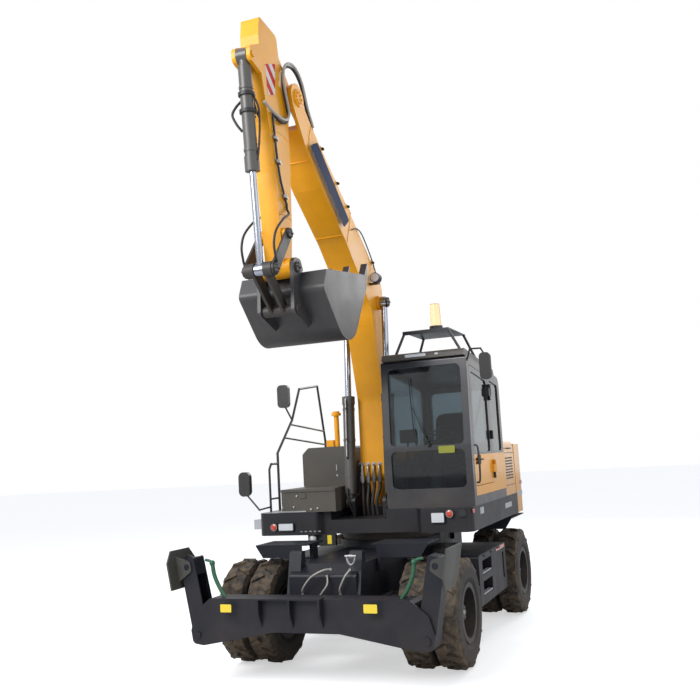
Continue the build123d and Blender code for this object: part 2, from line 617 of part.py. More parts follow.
def side_window(front_y, rear_y, sill, lean, band):
    """A side window's outline between two uprights, its top a band's height below the eaves."""
    return [
        (front_y, sill, 50), (rear_y, sill, 50), (rear_y, eaves(rear_y) - band, 50),
        (front_y + lean, eaves(front_y + lean) - band, 50),
    ]


def across(low_x, high_x, low_z, high_z, radius):
    """An oblong seen from the front, with rounded corners."""
    return [(low_x, low_z, radius), (high_x, low_z, radius), (high_x, high_z, radius), (low_x, high_z, radius)]


SHIELD_ROWS = across(cab_low_x + PILLAR, CAB_OUTER_X - PILLAR, 10 * stretch,
                     (eaves(shield_y) - EAVES_BAND - CAB_KINK) * stretch, 60)
LOWER_SHIELD_ROWS = across(cab_low_x + PILLAR, CAB_OUTER_X - PILLAR, CAB_FLOOR + 60, CAB_KINK - 40, 60)
REAR_WINDOW_ROWS = across(cab_low_x + PILLAR + 35, CAB_OUTER_X - PILLAR - 35, SILL,
                          CAB_REAR_EAVES - EAVES_BAND - 50, 60)
QUARTER_ROWS = side_window(DOOR_REAR_Y + 90, CAB_REAR_Y - 110, SILL, 0, EAVES_BAND + 25)
RIGHT_WINDOW_ROWS = side_window(CAB_FRONT_Y + 130, CAB_REAR_Y - 130, SILL - 80, 30, EAVES_BAND + 25)
DOOR_WINDOW_ROWS = side_window(DOOR_FRONT_Y + 80, DOOR_REAR_Y - 70, SILL, 20, EAVES_BAND + DOOR_GAP + 60)
left_wall = CAB_OUTER_X - CAB_WALL
wall_cut = CAB_WALL + 20
with BuildPart() as cab_shell:
    side_plate([
        (CAB_FRONT_Y, DECK_TOP, 0), (CAB_REAR_Y, DECK_TOP, 0), (CAB_REAR_Y, CAB_REAR_EAVES, 120),
        (shield_y, eaves(shield_y), 30), (CAB_FRONT_Y, CAB_KINK, 60),
    ], cab_low_x, CAB_OUTER_X - cab_low_x)
    side_plate([
        (CAB_FRONT_Y + CAB_WALL, CAB_FLOOR, 20), (CAB_REAR_Y - CAB_WALL, CAB_FLOOR, 20),
        (CAB_REAR_Y - CAB_WALL, CAB_REAR_EAVES - CAB_WALL, 60),
        (shield_y + CAB_WALL, eaves(shield_y) - CAB_WALL, 30), (CAB_FRONT_Y + CAB_WALL, CAB_KINK, 60),
    ], cab_low_x + CAB_WALL, left_wall - cab_low_x - CAB_WALL, Mode.SUBTRACT)
    # Doorway
    side_plate([
        (DOOR_FRONT_Y, DOOR_BOTTOM, 40), (DOOR_REAR_Y, DOOR_BOTTOM, 40),
        (DOOR_REAR_Y, eaves(DOOR_REAR_Y) - EAVES_BAND, 40),
        (DOOR_FRONT_Y + 30, eaves(DOOR_FRONT_Y + 30) - EAVES_BAND, 60), (DOOR_FRONT_Y, CAB_KINK, 60),
    ], left_wall - 10, wall_cut, Mode.SUBTRACT)
    side_plate(QUARTER_ROWS, left_wall - 10, wall_cut, Mode.SUBTRACT)
    side_plate(RIGHT_WINDOW_ROWS, cab_low_x - 10, wall_cut, Mode.SUBTRACT)
    front_plate(LOWER_SHIELD_ROWS, CAB_FRONT_Y + CAB_WALL + 10, wall_cut, Mode.SUBTRACT)
    front_plate(REAR_WINDOW_ROWS, CAB_REAR_Y + 10, wall_cut, Mode.SUBTRACT)
    plate(shield_plane(CAB_WALL + 30), SHIELD_ROWS, CAB_WALL + 60, Mode.SUBTRACT)
    # The door hinges' halves on the shell
    for low_z in HINGE_HEIGHTS:
        top = low_z + HINGE_LENGTH + TURN_GAP
        bar((hinge_x, hinge_y, top), (hinge_x, hinge_y, top + 50), HINGE_DIAMETER)
        block((CAB_OUTER_X - 10, hinge_y, top), (hinge_x + 6, hinge_y + 60, top + 50))
export(cab_shell, "cab_shell")

# Cab roof cap
roof_front_y = CAB_FRONT_Y + 20
roof_rear_y = CAB_REAR_Y - 125


def roof_rows(lift):
    """The roof cap's outline from the side, lifted off the eaves by a seating gap."""
    return [
        (roof_front_y, eaves(roof_front_y) + lift, 0), (roof_rear_y, eaves(roof_rear_y) + lift, 0),
        (roof_rear_y - 60, eaves(roof_rear_y - 60) + ROOF_THICKNESS + lift, 50),
        (roof_front_y + 25, eaves(roof_front_y + 25) + ROOF_THICKNESS + lift, 40),
    ]


with BuildPart() as cab_roof:
    side_plate(roof_rows(SEAT_GAP), cab_low_x + 20, CAB_OUTER_X - cab_low_x - 40)
export(cab_roof, "cab_roof")

# Guard above the roof: a plate with a front lip on four raked struts, their feet cut to the roof
with BuildPart() as roof_guard:
    block((GUARD_LOW[0], GUARD_LOW[1], GUARD_Z), (GUARD_HIGH[0], GUARD_HIGH[1], GUARD_Z + GUARD_PLATE))
    block((GUARD_LOW[0], GUARD_LOW[1] - GUARD_PLATE, GUARD_Z - 34),
          (GUARD_HIGH[0], GUARD_LOW[1], GUARD_Z + GUARD_PLATE))
    for place_x, foot_x in ((GUARD_LOW[0] + 20, cab_low_x + 160), (GUARD_HIGH[0] - 20, CAB_OUTER_X - 50)):
        for place_y, foot_y in ((GUARD_LOW[1] + 20, GUARD_LOW[1] - 40), (GUARD_HIGH[1] - 20, GUARD_HIGH[1] - 40)):
            bar((foot_x, foot_y, eaves(foot_y) + ROOF_THICKNESS / 2), (place_x, place_y, GUARD_Z + 2), RAIL)
    bar((*BEACON, GUARD_Z), (*BEACON, GUARD_Z + BEACON_BASE), BEACON_DIAMETER + 26)
    side_plate(roof_rows(2 * SEAT_GAP), cab_low_x, CAB_OUTER_X - cab_low_x, Mode.SUBTRACT)
export(roof_guard, "roof_guard")

# Beacon lens on the guard
with BuildPart() as beacon:
    with Locations((*BEACON, GUARD_Z + BEACON_BASE)):
        Cone(BEACON_DIAMETER / 2, BEACON_DIAMETER / 2 - 8, BEACON_HEIGHT - BEACON_BASE,
             align=(Align.CENTER, Align.CENTER, Align.MIN))
export(beacon, "beacon")

# Cab door: one thick frame, with its glass let in
with BuildPart() as cab_door:
    side_plate([
        (DOOR_FRONT_Y + DOOR_GAP, DOOR_BOTTOM + DOOR_GAP, 34), (DOOR_REAR_Y - DOOR_GAP, DOOR_BOTTOM + DOOR_GAP, 34),
        (DOOR_REAR_Y - DOOR_GAP, eaves(DOOR_REAR_Y - DOOR_GAP) - EAVES_BAND - DOOR_GAP, 34),
        (DOOR_FRONT_Y + 30 + DOOR_GAP, eaves(DOOR_FRONT_Y + 30 + DOOR_GAP) - EAVES_BAND - DOOR_GAP, 54),
        (DOOR_FRONT_Y + DOOR_GAP, CAB_KINK, 60),
    ], left_wall, CAB_WALL)
    side_plate(DOOR_WINDOW_ROWS, left_wall - 10, wall_cut, Mode.SUBTRACT)
    # Recessed grip behind a pull bar
    block((CAB_OUTER_X - 22, DOOR_FRONT_Y + 60, SILL - 130), (CAB_OUTER_X + 10, DOOR_FRONT_Y + 200, SILL - 60),
          Mode.SUBTRACT)
    bar((CAB_OUTER_X - 8, DOOR_FRONT_Y + 60, SILL - 95), (CAB_OUTER_X - 8, DOOR_FRONT_Y + 200, SILL - 95), 12)
    for low_z in HINGE_HEIGHTS:
        bar((hinge_x, hinge_y, low_z), (hinge_x, hinge_y, low_z + HINGE_LENGTH), HINGE_DIAMETER)
        block((CAB_OUTER_X, hinge_y - 70, low_z), (hinge_x + 6, hinge_y, low_z + HINGE_LENGTH))
export(cab_door, "cab_door")

with BuildPart() as door_glass:
    side_plate(DOOR_WINDOW_ROWS, CAB_OUTER_X - 20, GLASS)
export(door_glass, "door_glass")

# Fixed glass of the cab
with BuildPart() as cab_glass:
    side_plate(QUARTER_ROWS, CAB_OUTER_X - 20, GLASS)
    side_plate(RIGHT_WINDOW_ROWS, cab_low_x + 14, GLASS)
    front_plate(LOWER_SHIELD_ROWS, CAB_FRONT_Y + 20 + GLASS, GLASS)
    front_plate(REAR_WINDOW_ROWS, CAB_REAR_Y - 14, GLASS)
    plate(shield_plane(20 + GLASS), SHIELD_ROWS, GLASS)
export(cab_glass, "cab_glass")

# Mirror beside the cab, on a looped arm with its foot above the door
with BuildPart() as mirrors:
    mirror_x = CAB_OUTER_X + 220
    mirror_y = CAB_FRONT_Y - 25
    mirror_top = eaves(CAB_FRONT_Y) - 10
    front_plate(across(mirror_x - 60, mirror_x + 60, mirror_top - MIRROR_HEIGHT, mirror_top, 45), mirror_y + 25, 50)
    block((CAB_OUTER_X, DOOR_FRONT_Y - 32, mirror_top - 60), (CAB_OUTER_X + 14, DOOR_FRONT_Y - 4, mirror_top - 20))
    ARM_ROWS = [
        (CAB_OUTER_X + 10, DOOR_FRONT_Y - 18, mirror_top - 40), (CAB_OUTER_X + 50, DOOR_FRONT_Y - 60, mirror_top + 60),
        (mirror_x - 40, mirror_y, mirror_top + 50), (mirror_x, mirror_y, mirror_top - 20),
    ]
    for start, end in zip(ARM_ROWS, ARM_ROWS[1:]):
        bar(start, end, 18)
        with Locations(end):
            Sphere(10)
    block((left_wall, DOOR_FRONT_Y - 60, mirror_top - 80), (CAB_OUTER_X, DOOR_FRONT_Y + 20, mirror_top), Mode.SUBTRACT)
export(mirrors, "mirrors")

# Operator's seat and console
seat_x = (cab_low_x + CAB_OUTER_X) / 2
seat_z = CAB_FLOOR + SEAT_HEIGHT
seat_bottom = seat_z - 140
with BuildPart() as seat:
    side_plate([
        (430, seat_bottom, 40), (930, seat_bottom, 40), (1010, seat_z + 480, 40), (900, seat_z + 520, 40),
        (800, seat_z, 40), (430, seat_z - 20, 50),
    ], seat_x - 250, 500)
export(seat, "seat")

with BuildPart() as seat_base:
    block((seat_x - 200, 500, CAB_FLOOR), (seat_x + 200, 900, seat_bottom))
    for side, _ in (LEFT_SIDE, RIGHT_SIDE):
        low_x, high_x = sorted((seat_x + side * 200, seat_x + side * 340))
        block((low_x, 330, seat_bottom - 60), (high_x, 860, seat_bottom - 10))
        low_x, high_x = sorted((seat_x + side * 262, seat_x + side * 340))
        block((low_x, 330, seat_bottom - 10), (high_x, 860, seat_bottom + 180))
export(seat_base, "seat_base")

with BuildPart() as steering_column:
    side_plate([
        (30, CAB_FLOOR, 0), (150, CAB_FLOOR, 0), (290, seat_z + 170, 20), (220, seat_z + 190, 20),
    ], seat_x - 50, 100)
export(steering_column, "steering_column")

# Engine hood over the rear, hollow, with a lower part behind the boom
hood_half = DECK_HALF_WIDTH - HOOD_INSET
spine_high_x = cab_low_x - 12
with BuildPart() as engine_hood:
    front_plate([
        (-hood_half, DECK_TOP, 0), (hood_half, DECK_TOP, 0), (hood_half, HOOD_TOP, 90), (-hood_half, HOOD_TOP, 90),
    ], HOOD_REAR_Y, HOOD_REAR_Y - HOOD_FRONT_Y)
    front_plate([
        (-hood_half + HOOD_WALL, DECK_TOP - 1, 0), (hood_half - HOOD_WALL, DECK_TOP - 1, 0),
        (hood_half - HOOD_WALL, HOOD_TOP - HOOD_WALL, 60), (-hood_half + HOOD_WALL, HOOD_TOP - HOOD_WALL, 60),
    ], HOOD_REAR_Y - HOOD_WALL, HOOD_REAR_Y - HOOD_FRONT_Y - 2 * HOOD_WALL, Mode.SUBTRACT)
    block((SPINE_LOW_X, BOOM_FOOT[0] + 350, DECK_TOP), (spine_high_x, HOOD_FRONT_Y + 1, SPINE_TOP))
export(engine_hood, "engine_hood")

# Counterweight: a bowed tail with rounded corners and a wide round along its top edge
weight_half = DECK_HALF_WIDTH - HOOD_INSET / 2
with BuildPart() as counterweight:
    floor_plate([
        (-weight_half, HOOD_REAR_Y, 0), (weight_half, HOOD_REAR_Y, 0), (weight_half, TAIL_CORNER_Y, DECK_CORNER),
        (430, TAIL_Y, 2000), (-430, TAIL_Y, 2000), (-weight_half, TAIL_CORNER_Y, DECK_CORNER),
    ], DECK_BOTTOM, COUNTERWEIGHT_TOP - DECK_BOTTOM)
    side_plate([
        (HOOD_REAR_Y, DECK_BOTTOM, 0), (TAIL_Y + 1, DECK_BOTTOM, 40), (TAIL_Y + 1, COUNTERWEIGHT_TOP, 320),
        (HOOD_REAR_Y, COUNTERWEIGHT_TOP, 0),
    ], -weight_half, 2 * weight_half, Mode.INTERSECT)
export(counterweight, "counterweight")

# Fuel tank along the right side, wider above a step, its outer top edge cut off
tank_outer_x = -DECK_HALF_WIDTH + WALKWAY
tank_inner_x = SPINE_LOW_X - HOOD_INSET
with BuildPart() as fuel_tank:
    front_plate([
        (tank_outer_x + 45, DECK_TOP, 0), (tank_inner_x, DECK_TOP, 0), (tank_inner_x, TANK_TOP, 30),
        (tank_outer_x + 70, TANK_TOP, 40), (tank_outer_x - 10, TANK_TOP - 75, 40), (tank_outer_x - 10, LOCKER_TOP, 20),
        (tank_outer_x + 45, LOCKER_TOP - 20, 0),
    ], HOOD_FRONT_Y - 1, HOOD_FRONT_Y - 1 - TANK_FRONT_Y)
export(fuel_tank, "fuel_tank")

# Tool locker in front of the tank: a body under an overhanging lid, with a latch plate
with BuildPart() as tool_boxes:
    locker_rear_y = TANK_FRONT_Y - 1
    block((tank_outer_x + 45, DECK_FRONT_Y + 20, DECK_TOP), (well_low_x - 10, locker_rear_y, LOCKER_TOP - 30))
    block((well_low_x - 10, DECK_FRONT_Y + 20, DECK_TOP), (-285, -240, LOCKER_TOP - 30))
    floor_plate([
        (tank_outer_x + 37, DECK_FRONT_Y + 8, 20), (-279, DECK_FRONT_Y + 8, 20), (-279, -236, 20),
        (well_low_x - 4, -236, 0), (well_low_x - 4, locker_rear_y, 0), (tank_outer_x + 37, locker_rear_y, 20),
    ], LOCKER_TOP - 30, 30)
    front_plate(across(-720, -640, LOCKER_TOP - 100, LOCKER_TOP - 50, 10), DECK_FRONT_Y + 20, 10)
export(tool_boxes, "tool_boxes")

# Intake post with a round cap, and a filler box, on top of the tank
with BuildPart() as intake_post:
    bar((-557, 400, TANK_TOP), (-557, 400, TANK_TOP + 380), 60)
    bar((-557, 400, TANK_TOP + 370), (-557, 400, TANK_TOP + 400), 116)
    bar((-557, 400, TANK_TOP + 400), (-557, 400, TANK_TOP + 422), 84)
    block((-690, 370, TANK_TOP), (-600, 460, TANK_TOP + 80))
export(intake_post, "intake_post")

# Handrails along the right side, with the two mirrors they carry
rail_x = -DECK_HALF_WIDTH + 70
RAIL_RUNS = [
    # diameter, then the run's points (y, z)
    (RAIL, [(0, DECK_TOP), (0, 2174), (440, 2574), (690, 2973), (1260, 3042), (1440, 2320), (1440, HOOD_TOP)]),
    (RAIL - 4, [(-230, DECK_TOP), (-230, 1990), (-180, 2050), (0, 2050)]),
    (RAIL - 6, [(200, 2356), (1440, 2262)]),
    (RAIL - 6, [(380, 2520), (1410, 2440)]),
    (RAIL - 8, [(-230, 1650), (0, 1650)]),
]
with BuildPart() as handrails:
    for diameter, run in RAIL_RUNS:
        for place in range(len(run) - 1):
            bar((rail_x, *run[place]), (rail_x, *run[place + 1]), diameter)
            if place + 2 < len(run):
                with Locations((rail_x, *run[place + 1])):
                    Sphere(diameter / 2 + 1)
    # Right mirrors: an upper one on the long rail and a lower one ahead of the deck's corner
    front_plate(across(-1312, -1162, 2728, 3010, 50), 400, 60)
    bar((rail_x, 440, 2574), (-1233, 370, 2760), 22)
    front_plate(across(-1440, -1300, 1700, 1975, 60), -425, 60)
    elbow = (-1200, -455, 1545)
    bar((rail_x, -230, 1560), elbow, 20)
    bar(elbow, (-1365, -455, 1730), 20)
    with Locations(elbow):
        Sphere(13)
export(handrails, "handrails")

# Lamps let onto the deck's front: two headlamps, two round lamps, a side box and a plate
LAMP_TABLE = (
    # low x, high x, low z, high z, corner radius
    (-979, -785, 1299, 1391, 20),
    (803, 957, 1348, 1465, 20),
    (1108, 1180, 1412, 1480, 10),
)
with BuildPart() as lamps:
    for low_x, high_x, low_z, high_z, radius in LAMP_TABLE:
        front_plate(across(low_x, high_x, low_z, high_z, radius), DECK_FRONT_Y, 26)
    for lamp_x, lamp_z in ((-1030, 1345), (1010, 1445)):
        bar((lamp_x, DECK_FRONT_Y, lamp_z), (lamp_x, DECK_FRONT_Y - 30, lamp_z), 84)
    block((-DECK_HALF_WIDTH - 66, -330, 1323), (-DECK_HALF_WIDTH, -230, 1421))
export(lamps, "lamps")

# Boom: a bent box beam with a fork at its tip
BOOM_ROWS = [
    (295, 1785, 105), (525, 1785, 105), (530, 2700, 900), (470, 4120, 220), (-461, 4790, 900),
    (-1416, 5458, 0), (-1680, 5690, 0), (-1870, 5570, 0), (-1600, 5200, 0), (-1230, 4870, 0),
    (-640, 4440, 300), (60, 3790, 300), (130, 3400, 300), (310, 2750, 400),
]
with BuildPart() as boom:
    side_plate(BOOM_ROWS, ARM_X - BOOM_HALF_WIDTH, 2 * BOOM_HALF_WIDTH)
    cross_bar(STICK_PIVOT, ARM_X - BOOM_HALF_WIDTH, ARM_X + BOOM_HALF_WIDTH, 2 * TIP_RADIUS)
    cross_bar(STICK_PIVOT, ARM_X - FORK_INNER, ARM_X + FORK_INNER, 2 * FORK_DEPTH, Mode.SUBTRACT)
    cross_bar(BOOM_FOOT, ARM_X - BOOM_HALF_WIDTH, ARM_X + BOOM_HALF_WIDTH, BOOM_PIN + 2 * TURN_GAP, Mode.SUBTRACT)
    cross_bar(STICK_PIVOT, ARM_X - BOOM_HALF_WIDTH, ARM_X + BOOM_HALF_WIDTH, BOOM_PIN)
    eye_gap = LIFT_OFFSET - LIFT_EYE_WIDTH / 2 - SIDE_GAP
    cross_bar(LIFT_EYE, ARM_X - eye_gap, ARM_X + eye_gap, 170)
    # Ears for the stick cylinder's base
    for side, _ in (LEFT_SIDE, RIGHT_SIDE):
        low_x = ARM_X + (EYE_WIDTH / 2 + SIDE_GAP if side > 0 else -EYE_WIDTH / 2 - SIDE_GAP - EAR)
        side_plate([
            (-20, 4460, 0), (CROWD_BASE[0] + 65, CROWD_BASE[1] + 65, 62), (CROWD_BASE[0] - 65, CROWD_BASE[1] + 65, 62),
            (-500, 4740, 0),
        ], low_x, EAR)
    cross_bar(CROWD_BASE, ARM_X - EYE_WIDTH / 2 - SIDE_GAP - EAR, ARM_X + EYE_WIDTH / 2 + SIDE_GAP + EAR, ARM_PIN)
export(boom, "boom")

# Work lamp on the boom's left face
with BuildPart() as work_lamp:
    lamp_x = ARM_X + BOOM_HALF_WIDTH
    block((lamp_x, 20, 4061), (lamp_x + 110, 100, 4073))
    bar((lamp_x + 78, 100, 4132), (lamp_x + 78, 15, 4132), 120)
export(work_lamp, "work_lamp")

# Stick: a tapering box beam, slotted at its tail for the cylinder's eye
STICK_ROWS = [
    (-2375, 6235, 30), (-2405, 6030, 200), (-2375, 5700, 300), (-2250, 5170, 0), (-2190, 4780, 0), (-2085, 3900, 0),
    (-1905, 3900, 0), (-1860, 4374, 300), (-1830, 5000, 600), (-1835, 5300, 200), (-1800, 5560, 0),
    (-1760, 5770, 0), (-1985, 5990, 60), (-2020, 6190, 60),
]
with BuildPart() as stick:
    side_plate(STICK_ROWS, ARM_X - STICK_HALF_WIDTH, 2 * STICK_HALF_WIDTH)
    pivot_half = FORK_INNER - SIDE_GAP
    cross_bar(STICK_PIVOT, ARM_X - pivot_half, ARM_X + pivot_half, 240)
    nose_half = BUCKET_EAR_INNER - SIDE_GAP
    cross_bar(BUCKET_PIVOT, ARM_X - nose_half, ARM_X + nose_half, 190)
    rocker_outer = ROCKER_INNER + ROCKER_PLATE
    tube_half = ROCKER_INNER - SIDE_GAP
    cross_bar(ROCKER_PIVOT, ARM_X - tube_half, ARM_X + tube_half, 116)
    cross_bar(ROCKER_PIVOT, ARM_X - rocker_outer, ARM_X + rocker_outer, ARM_PIN)
    # Slot at the tail, for the cylinder's eye
    slot_half = EYE_WIDTH / 2 + SIDE_GAP
    side_plate([
        (-2250, 6085, 60), (-2090, 5888, 60), (-1900, 5880, 60), (-1500, 5580, 0), (-1500, 6400, 0), (-2250, 6400, 0),
    ], ARM_X - slot_half, 2 * slot_half, Mode.SUBTRACT)
    cross_bar(STICK_PIVOT, ARM_X - pivot_half, ARM_X + pivot_half, BOOM_PIN + 2 * TURN_GAP, Mode.SUBTRACT)
    # Ears for the bucket cylinder's base, in line with the sides
    base_half = CURL_BASE_WIDTH / 2 + SIDE_GAP
    for side, _ in (LEFT_SIDE, RIGHT_SIDE):
        low_x, high_x = sorted((ARM_X + side * base_half, ARM_X + side * STICK_HALF_WIDTH))
        side_plate([
            (-2355, 5670, 0), (CURL_BASE[0] - 60, CURL_BASE[1] - 60, 58), (CURL_BASE[0] - 60, CURL_BASE[1] + 60, 58),
            (-2375, 5960, 0),
        ], low_x, high_x - low_x)
    cross_bar(CURL_BASE, ARM_X - STICK_HALF_WIDTH - 12, ARM_X + STICK_HALF_WIDTH + 12, ARM_PIN)
    cross_bar(BUCKET_PIVOT, ARM_X - nose_half, ARM_X + nose_half, ARM_PIN + 2 * TURN_GAP, Mode.SUBTRACT)
export(stick, "stick")


def barrel(centre_x, base, eye, diameter, length, rod, eye_width, pin):
    """A cylinder's barrel: an eye on the base pin and a tube bored for its rod."""
    x = centre_x
    cross_bar(base, x - eye_width / 2, x + eye_width / 2, eye_width + 34)
    bar(at_x(x, base), at_x(x, along(base, eye, length)), eye_width - 4)
    bar(at_x(x, along(base, eye, TUBE_START)), at_x(x, along(base, eye, length)), diameter)
    bar(at_x(x, along(base, eye, length - 90)), at_x(x, along(base, eye, length)), diameter + 16)
    bar(at_x(x, along(base, eye, TUBE_START + 20)), at_x(x, along(base, eye, length + 5)), rod + 2 * TURN_GAP,
        Mode.SUBTRACT)
    cross_bar(base, x - eye_width / 2, x + eye_width / 2, pin + 2 * TURN_GAP, Mode.SUBTRACT)


def rod_and_eye(centre_x, base, eye, length, engaged, rod, eye_width, eye_diameter):
    """A cylinder's rod, from inside its barrel to the eye with its pin's end."""
    x = centre_x
    bar(at_x(x, along(base, eye, length - engaged)), at_x(x, eye), rod)
    cross_bar(eye, x - eye_width / 2, x + eye_width / 2, eye_diameter)


# Boom cylinders
with BuildPart() as boom_barrels:
    for side, _ in (LEFT_SIDE, RIGHT_SIDE):
        barrel(ARM_X + side * LIFT_OFFSET, LIFT_BASE, LIFT_EYE, LIFT_BARREL, LIFT_BARREL_LENGTH, LIFT_ROD,
               LIFT_EYE_WIDTH, ARM_PIN)
export(boom_barrels, "boom_cylinder_barrels")

with BuildPart() as boom_rods:
    for side, _ in (LEFT_SIDE, RIGHT_SIDE):
        rod_and_eye(ARM_X + side * LIFT_OFFSET, LIFT_BASE, LIFT_EYE, LIFT_BARREL_LENGTH, 140, LIFT_ROD,
                    LIFT_EYE_WIDTH, 140)
export(boom_rods, "boom_cylinder_rods")

# Stick cylinder
with BuildPart() as stick_barrel:
    barrel(ARM_X, CROWD_BASE, CROWD_EYE, CROWD_BARREL, CROWD_BARREL_LENGTH, CROWD_ROD, EYE_WIDTH, ARM_PIN)
export(stick_barrel, "stick_cylinder_barrel")

with BuildPart() as stick_rod:
    rod_and_eye(ARM_X, CROWD_BASE, CROWD_EYE, CROWD_BARREL_LENGTH, 120, CROWD_ROD, EYE_WIDTH, 120)
export(stick_rod, "stick_cylinder_rod")

# Bucket cylinder
with BuildPart() as bucket_barrel:
    barrel(ARM_X, CURL_BASE, CURL_EYE, CURL_BARREL, CURL_BARREL_LENGTH, CURL_ROD, CURL_BASE_WIDTH, ARM_PIN)
export(bucket_barrel, "bucket_cylinder_barrel")

with BuildPart() as bucket_rod:
    rod_and_eye(ARM_X, CURL_BASE, CURL_EYE, CURL_BARREL_LENGTH, 120, CURL_ROD, EYE_WIDTH, 116)
export(bucket_rod, "bucket_cylinder_rod")


def link_bar(first, second, first_radius, second_radius, x_low, width):
    """A flat link with a round boss at each of its two pivots (y, z)."""
    run = Vector(second[0] - first[0], second[1] - first[1]).normalized()
    across = Vector(-run.Y, run.X)
    corners = []
    for pivot, radius in ((first, first_radius), (second, second_radius)):
        for way in (-1, 1):
            corners.append((pivot[0] + way * radius * across.X, pivot[1] + way * radius * across.Y, 0))
    side_plate([corners[0], corners[1], corners[3], corners[2]], x_low, width)
    cross_bar(first, x_low, x_low + width, 2 * first_radius)
    cross_bar(second, x_low, x_low + width, 2 * second_radius)


# Rocker: two arms outside the stick, each with its half of the front pin
with BuildPart() as rocker:
    for side, _ in (LEFT_SIDE, RIGHT_SIDE):
        low_x = ARM_X + (ROCKER_INNER if side > 0 else -ROCKER_INNER - ROCKER_PLATE)
        link_bar(ROCKER_PIVOT, CURL_EYE, 55, 62, low_x, ROCKER_PLATE)
        cross_bar(ROCKER_PIVOT, low_x, low_x + ROCKER_PLATE, ARM_PIN + 2 * TURN_GAP, Mode.SUBTRACT)
        pin_low, pin_high = sorted((ARM_X + side * slot_half, ARM_X + side * (ROCKER_INNER + ROCKER_PLATE)))
        cross_bar(CURL_EYE, pin_low, pin_high, ARM_PIN)
export(rocker, "rocker_arms")

# Link: a drum on the rocker's pin, two side plates and the tube held by the bucket's ears
link_half = BUCKET_EAR_INNER - SIDE_GAP
with BuildPart() as bucket_link:
    for side, _ in (LEFT_SIDE, RIGHT_SIDE):
        low_x, high_x = sorted((ARM_X + side * slot_half, ARM_X + side * (ROCKER_INNER - SIDE_GAP)))
        cross_bar(CURL_EYE, low_x, high_x, 140)
        low_x = ARM_X + (slot_half if side > 0 else -slot_half - EAR)
        link_bar(CURL_EYE, BUCKET_LINK, 66, 55, low_x, EAR)
        cross_bar(CURL_EYE, ARM_X - ROCKER_INNER, ARM_X + ROCKER_INNER, ARM_PIN + 2 * TURN_GAP, Mode.SUBTRACT)
    cross_bar(BUCKET_LINK, ARM_X - link_half, ARM_X + link_half, 110)
export(bucket_link, "bucket_link")

# Bucket: a rolled shell between two side plates, with the ears that carry it
SHELL_ROWS = [
    (-1905, 3850, 0), (-1995, 3660, 60), (-1404, 3047, 320), (-835, 3851, 60), (-800, 3985, 0),
]
inner_rows = [
    (-1880, 3870, 0), (-1966, 3665, 50), (-1404, 3078, 300), (-856, 3854, 50), (-824, 4010, 0),
]
EAR_ROWS = [
    (-2085, 3850, 60), (-2060, 3975, 60), (-1910, 3975, 60), (-1840, 3820, 0), (-1700, 3390, 0),
    (-1800, 3330, 0), (-2000, 3405, 60), (-2105, 3440, 50),
]
with BuildPart() as bucket:
    half = BUCKET_WIDTH / 2
    side_plate(SHELL_ROWS, ARM_X - half, BUCKET_WIDTH)
    side_plate(inner_rows, ARM_X - half + BUCKET_WALL, BUCKET_WIDTH - 2 * BUCKET_WALL, Mode.SUBTRACT)
    for side, _ in (LEFT_SIDE, RIGHT_SIDE):
        low_x = ARM_X + (BUCKET_EAR_INNER if side > 0 else -BUCKET_EAR_INNER - BUCKET_EAR)
        side_plate(EAR_ROWS, low_x, BUCKET_EAR)
    side_plate([(x, z, r) for x, z, r in inner_rows], ARM_X - half + BUCKET_WALL, BUCKET_WIDTH - 2 * BUCKET_WALL,
               Mode.SUBTRACT)
    ear_outer = BUCKET_EAR_INNER + BUCKET_EAR
    cross_bar(BUCKET_PIVOT, ARM_X - ear_outer, ARM_X + ear_outer, ARM_PIN)
    # Teeth along the cutting edge
    pitch = (BUCKET_WIDTH - 90) / (TOOTH_COUNT - 1)
    for number in range(TOOTH_COUNT):
        tooth_x = ARM_X - half + 45 + number * pitch
        side_plate([
            (-852, 3905, 0), (-790, 3895, 0), (-745, 4120, 0), (-757, 4122, 0), (-846, 3990, 0),
        ], tooth_x - 35, 70)
export(bucket, "bucket")

# Engine, closed under the hood
with BuildPart() as engine:
    block((-600, HOOD_FRONT_Y + 80, DECK_TOP), (300, HOOD_REAR_Y - 60, 2080))
export(engine, "engine")
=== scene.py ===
"""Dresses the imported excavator: paint, glass, hoses, pipes, fasteners and trim, on a plain stage."""
import json
import math

import bpy
import numpy as np
from mathutils import Matrix, Vector


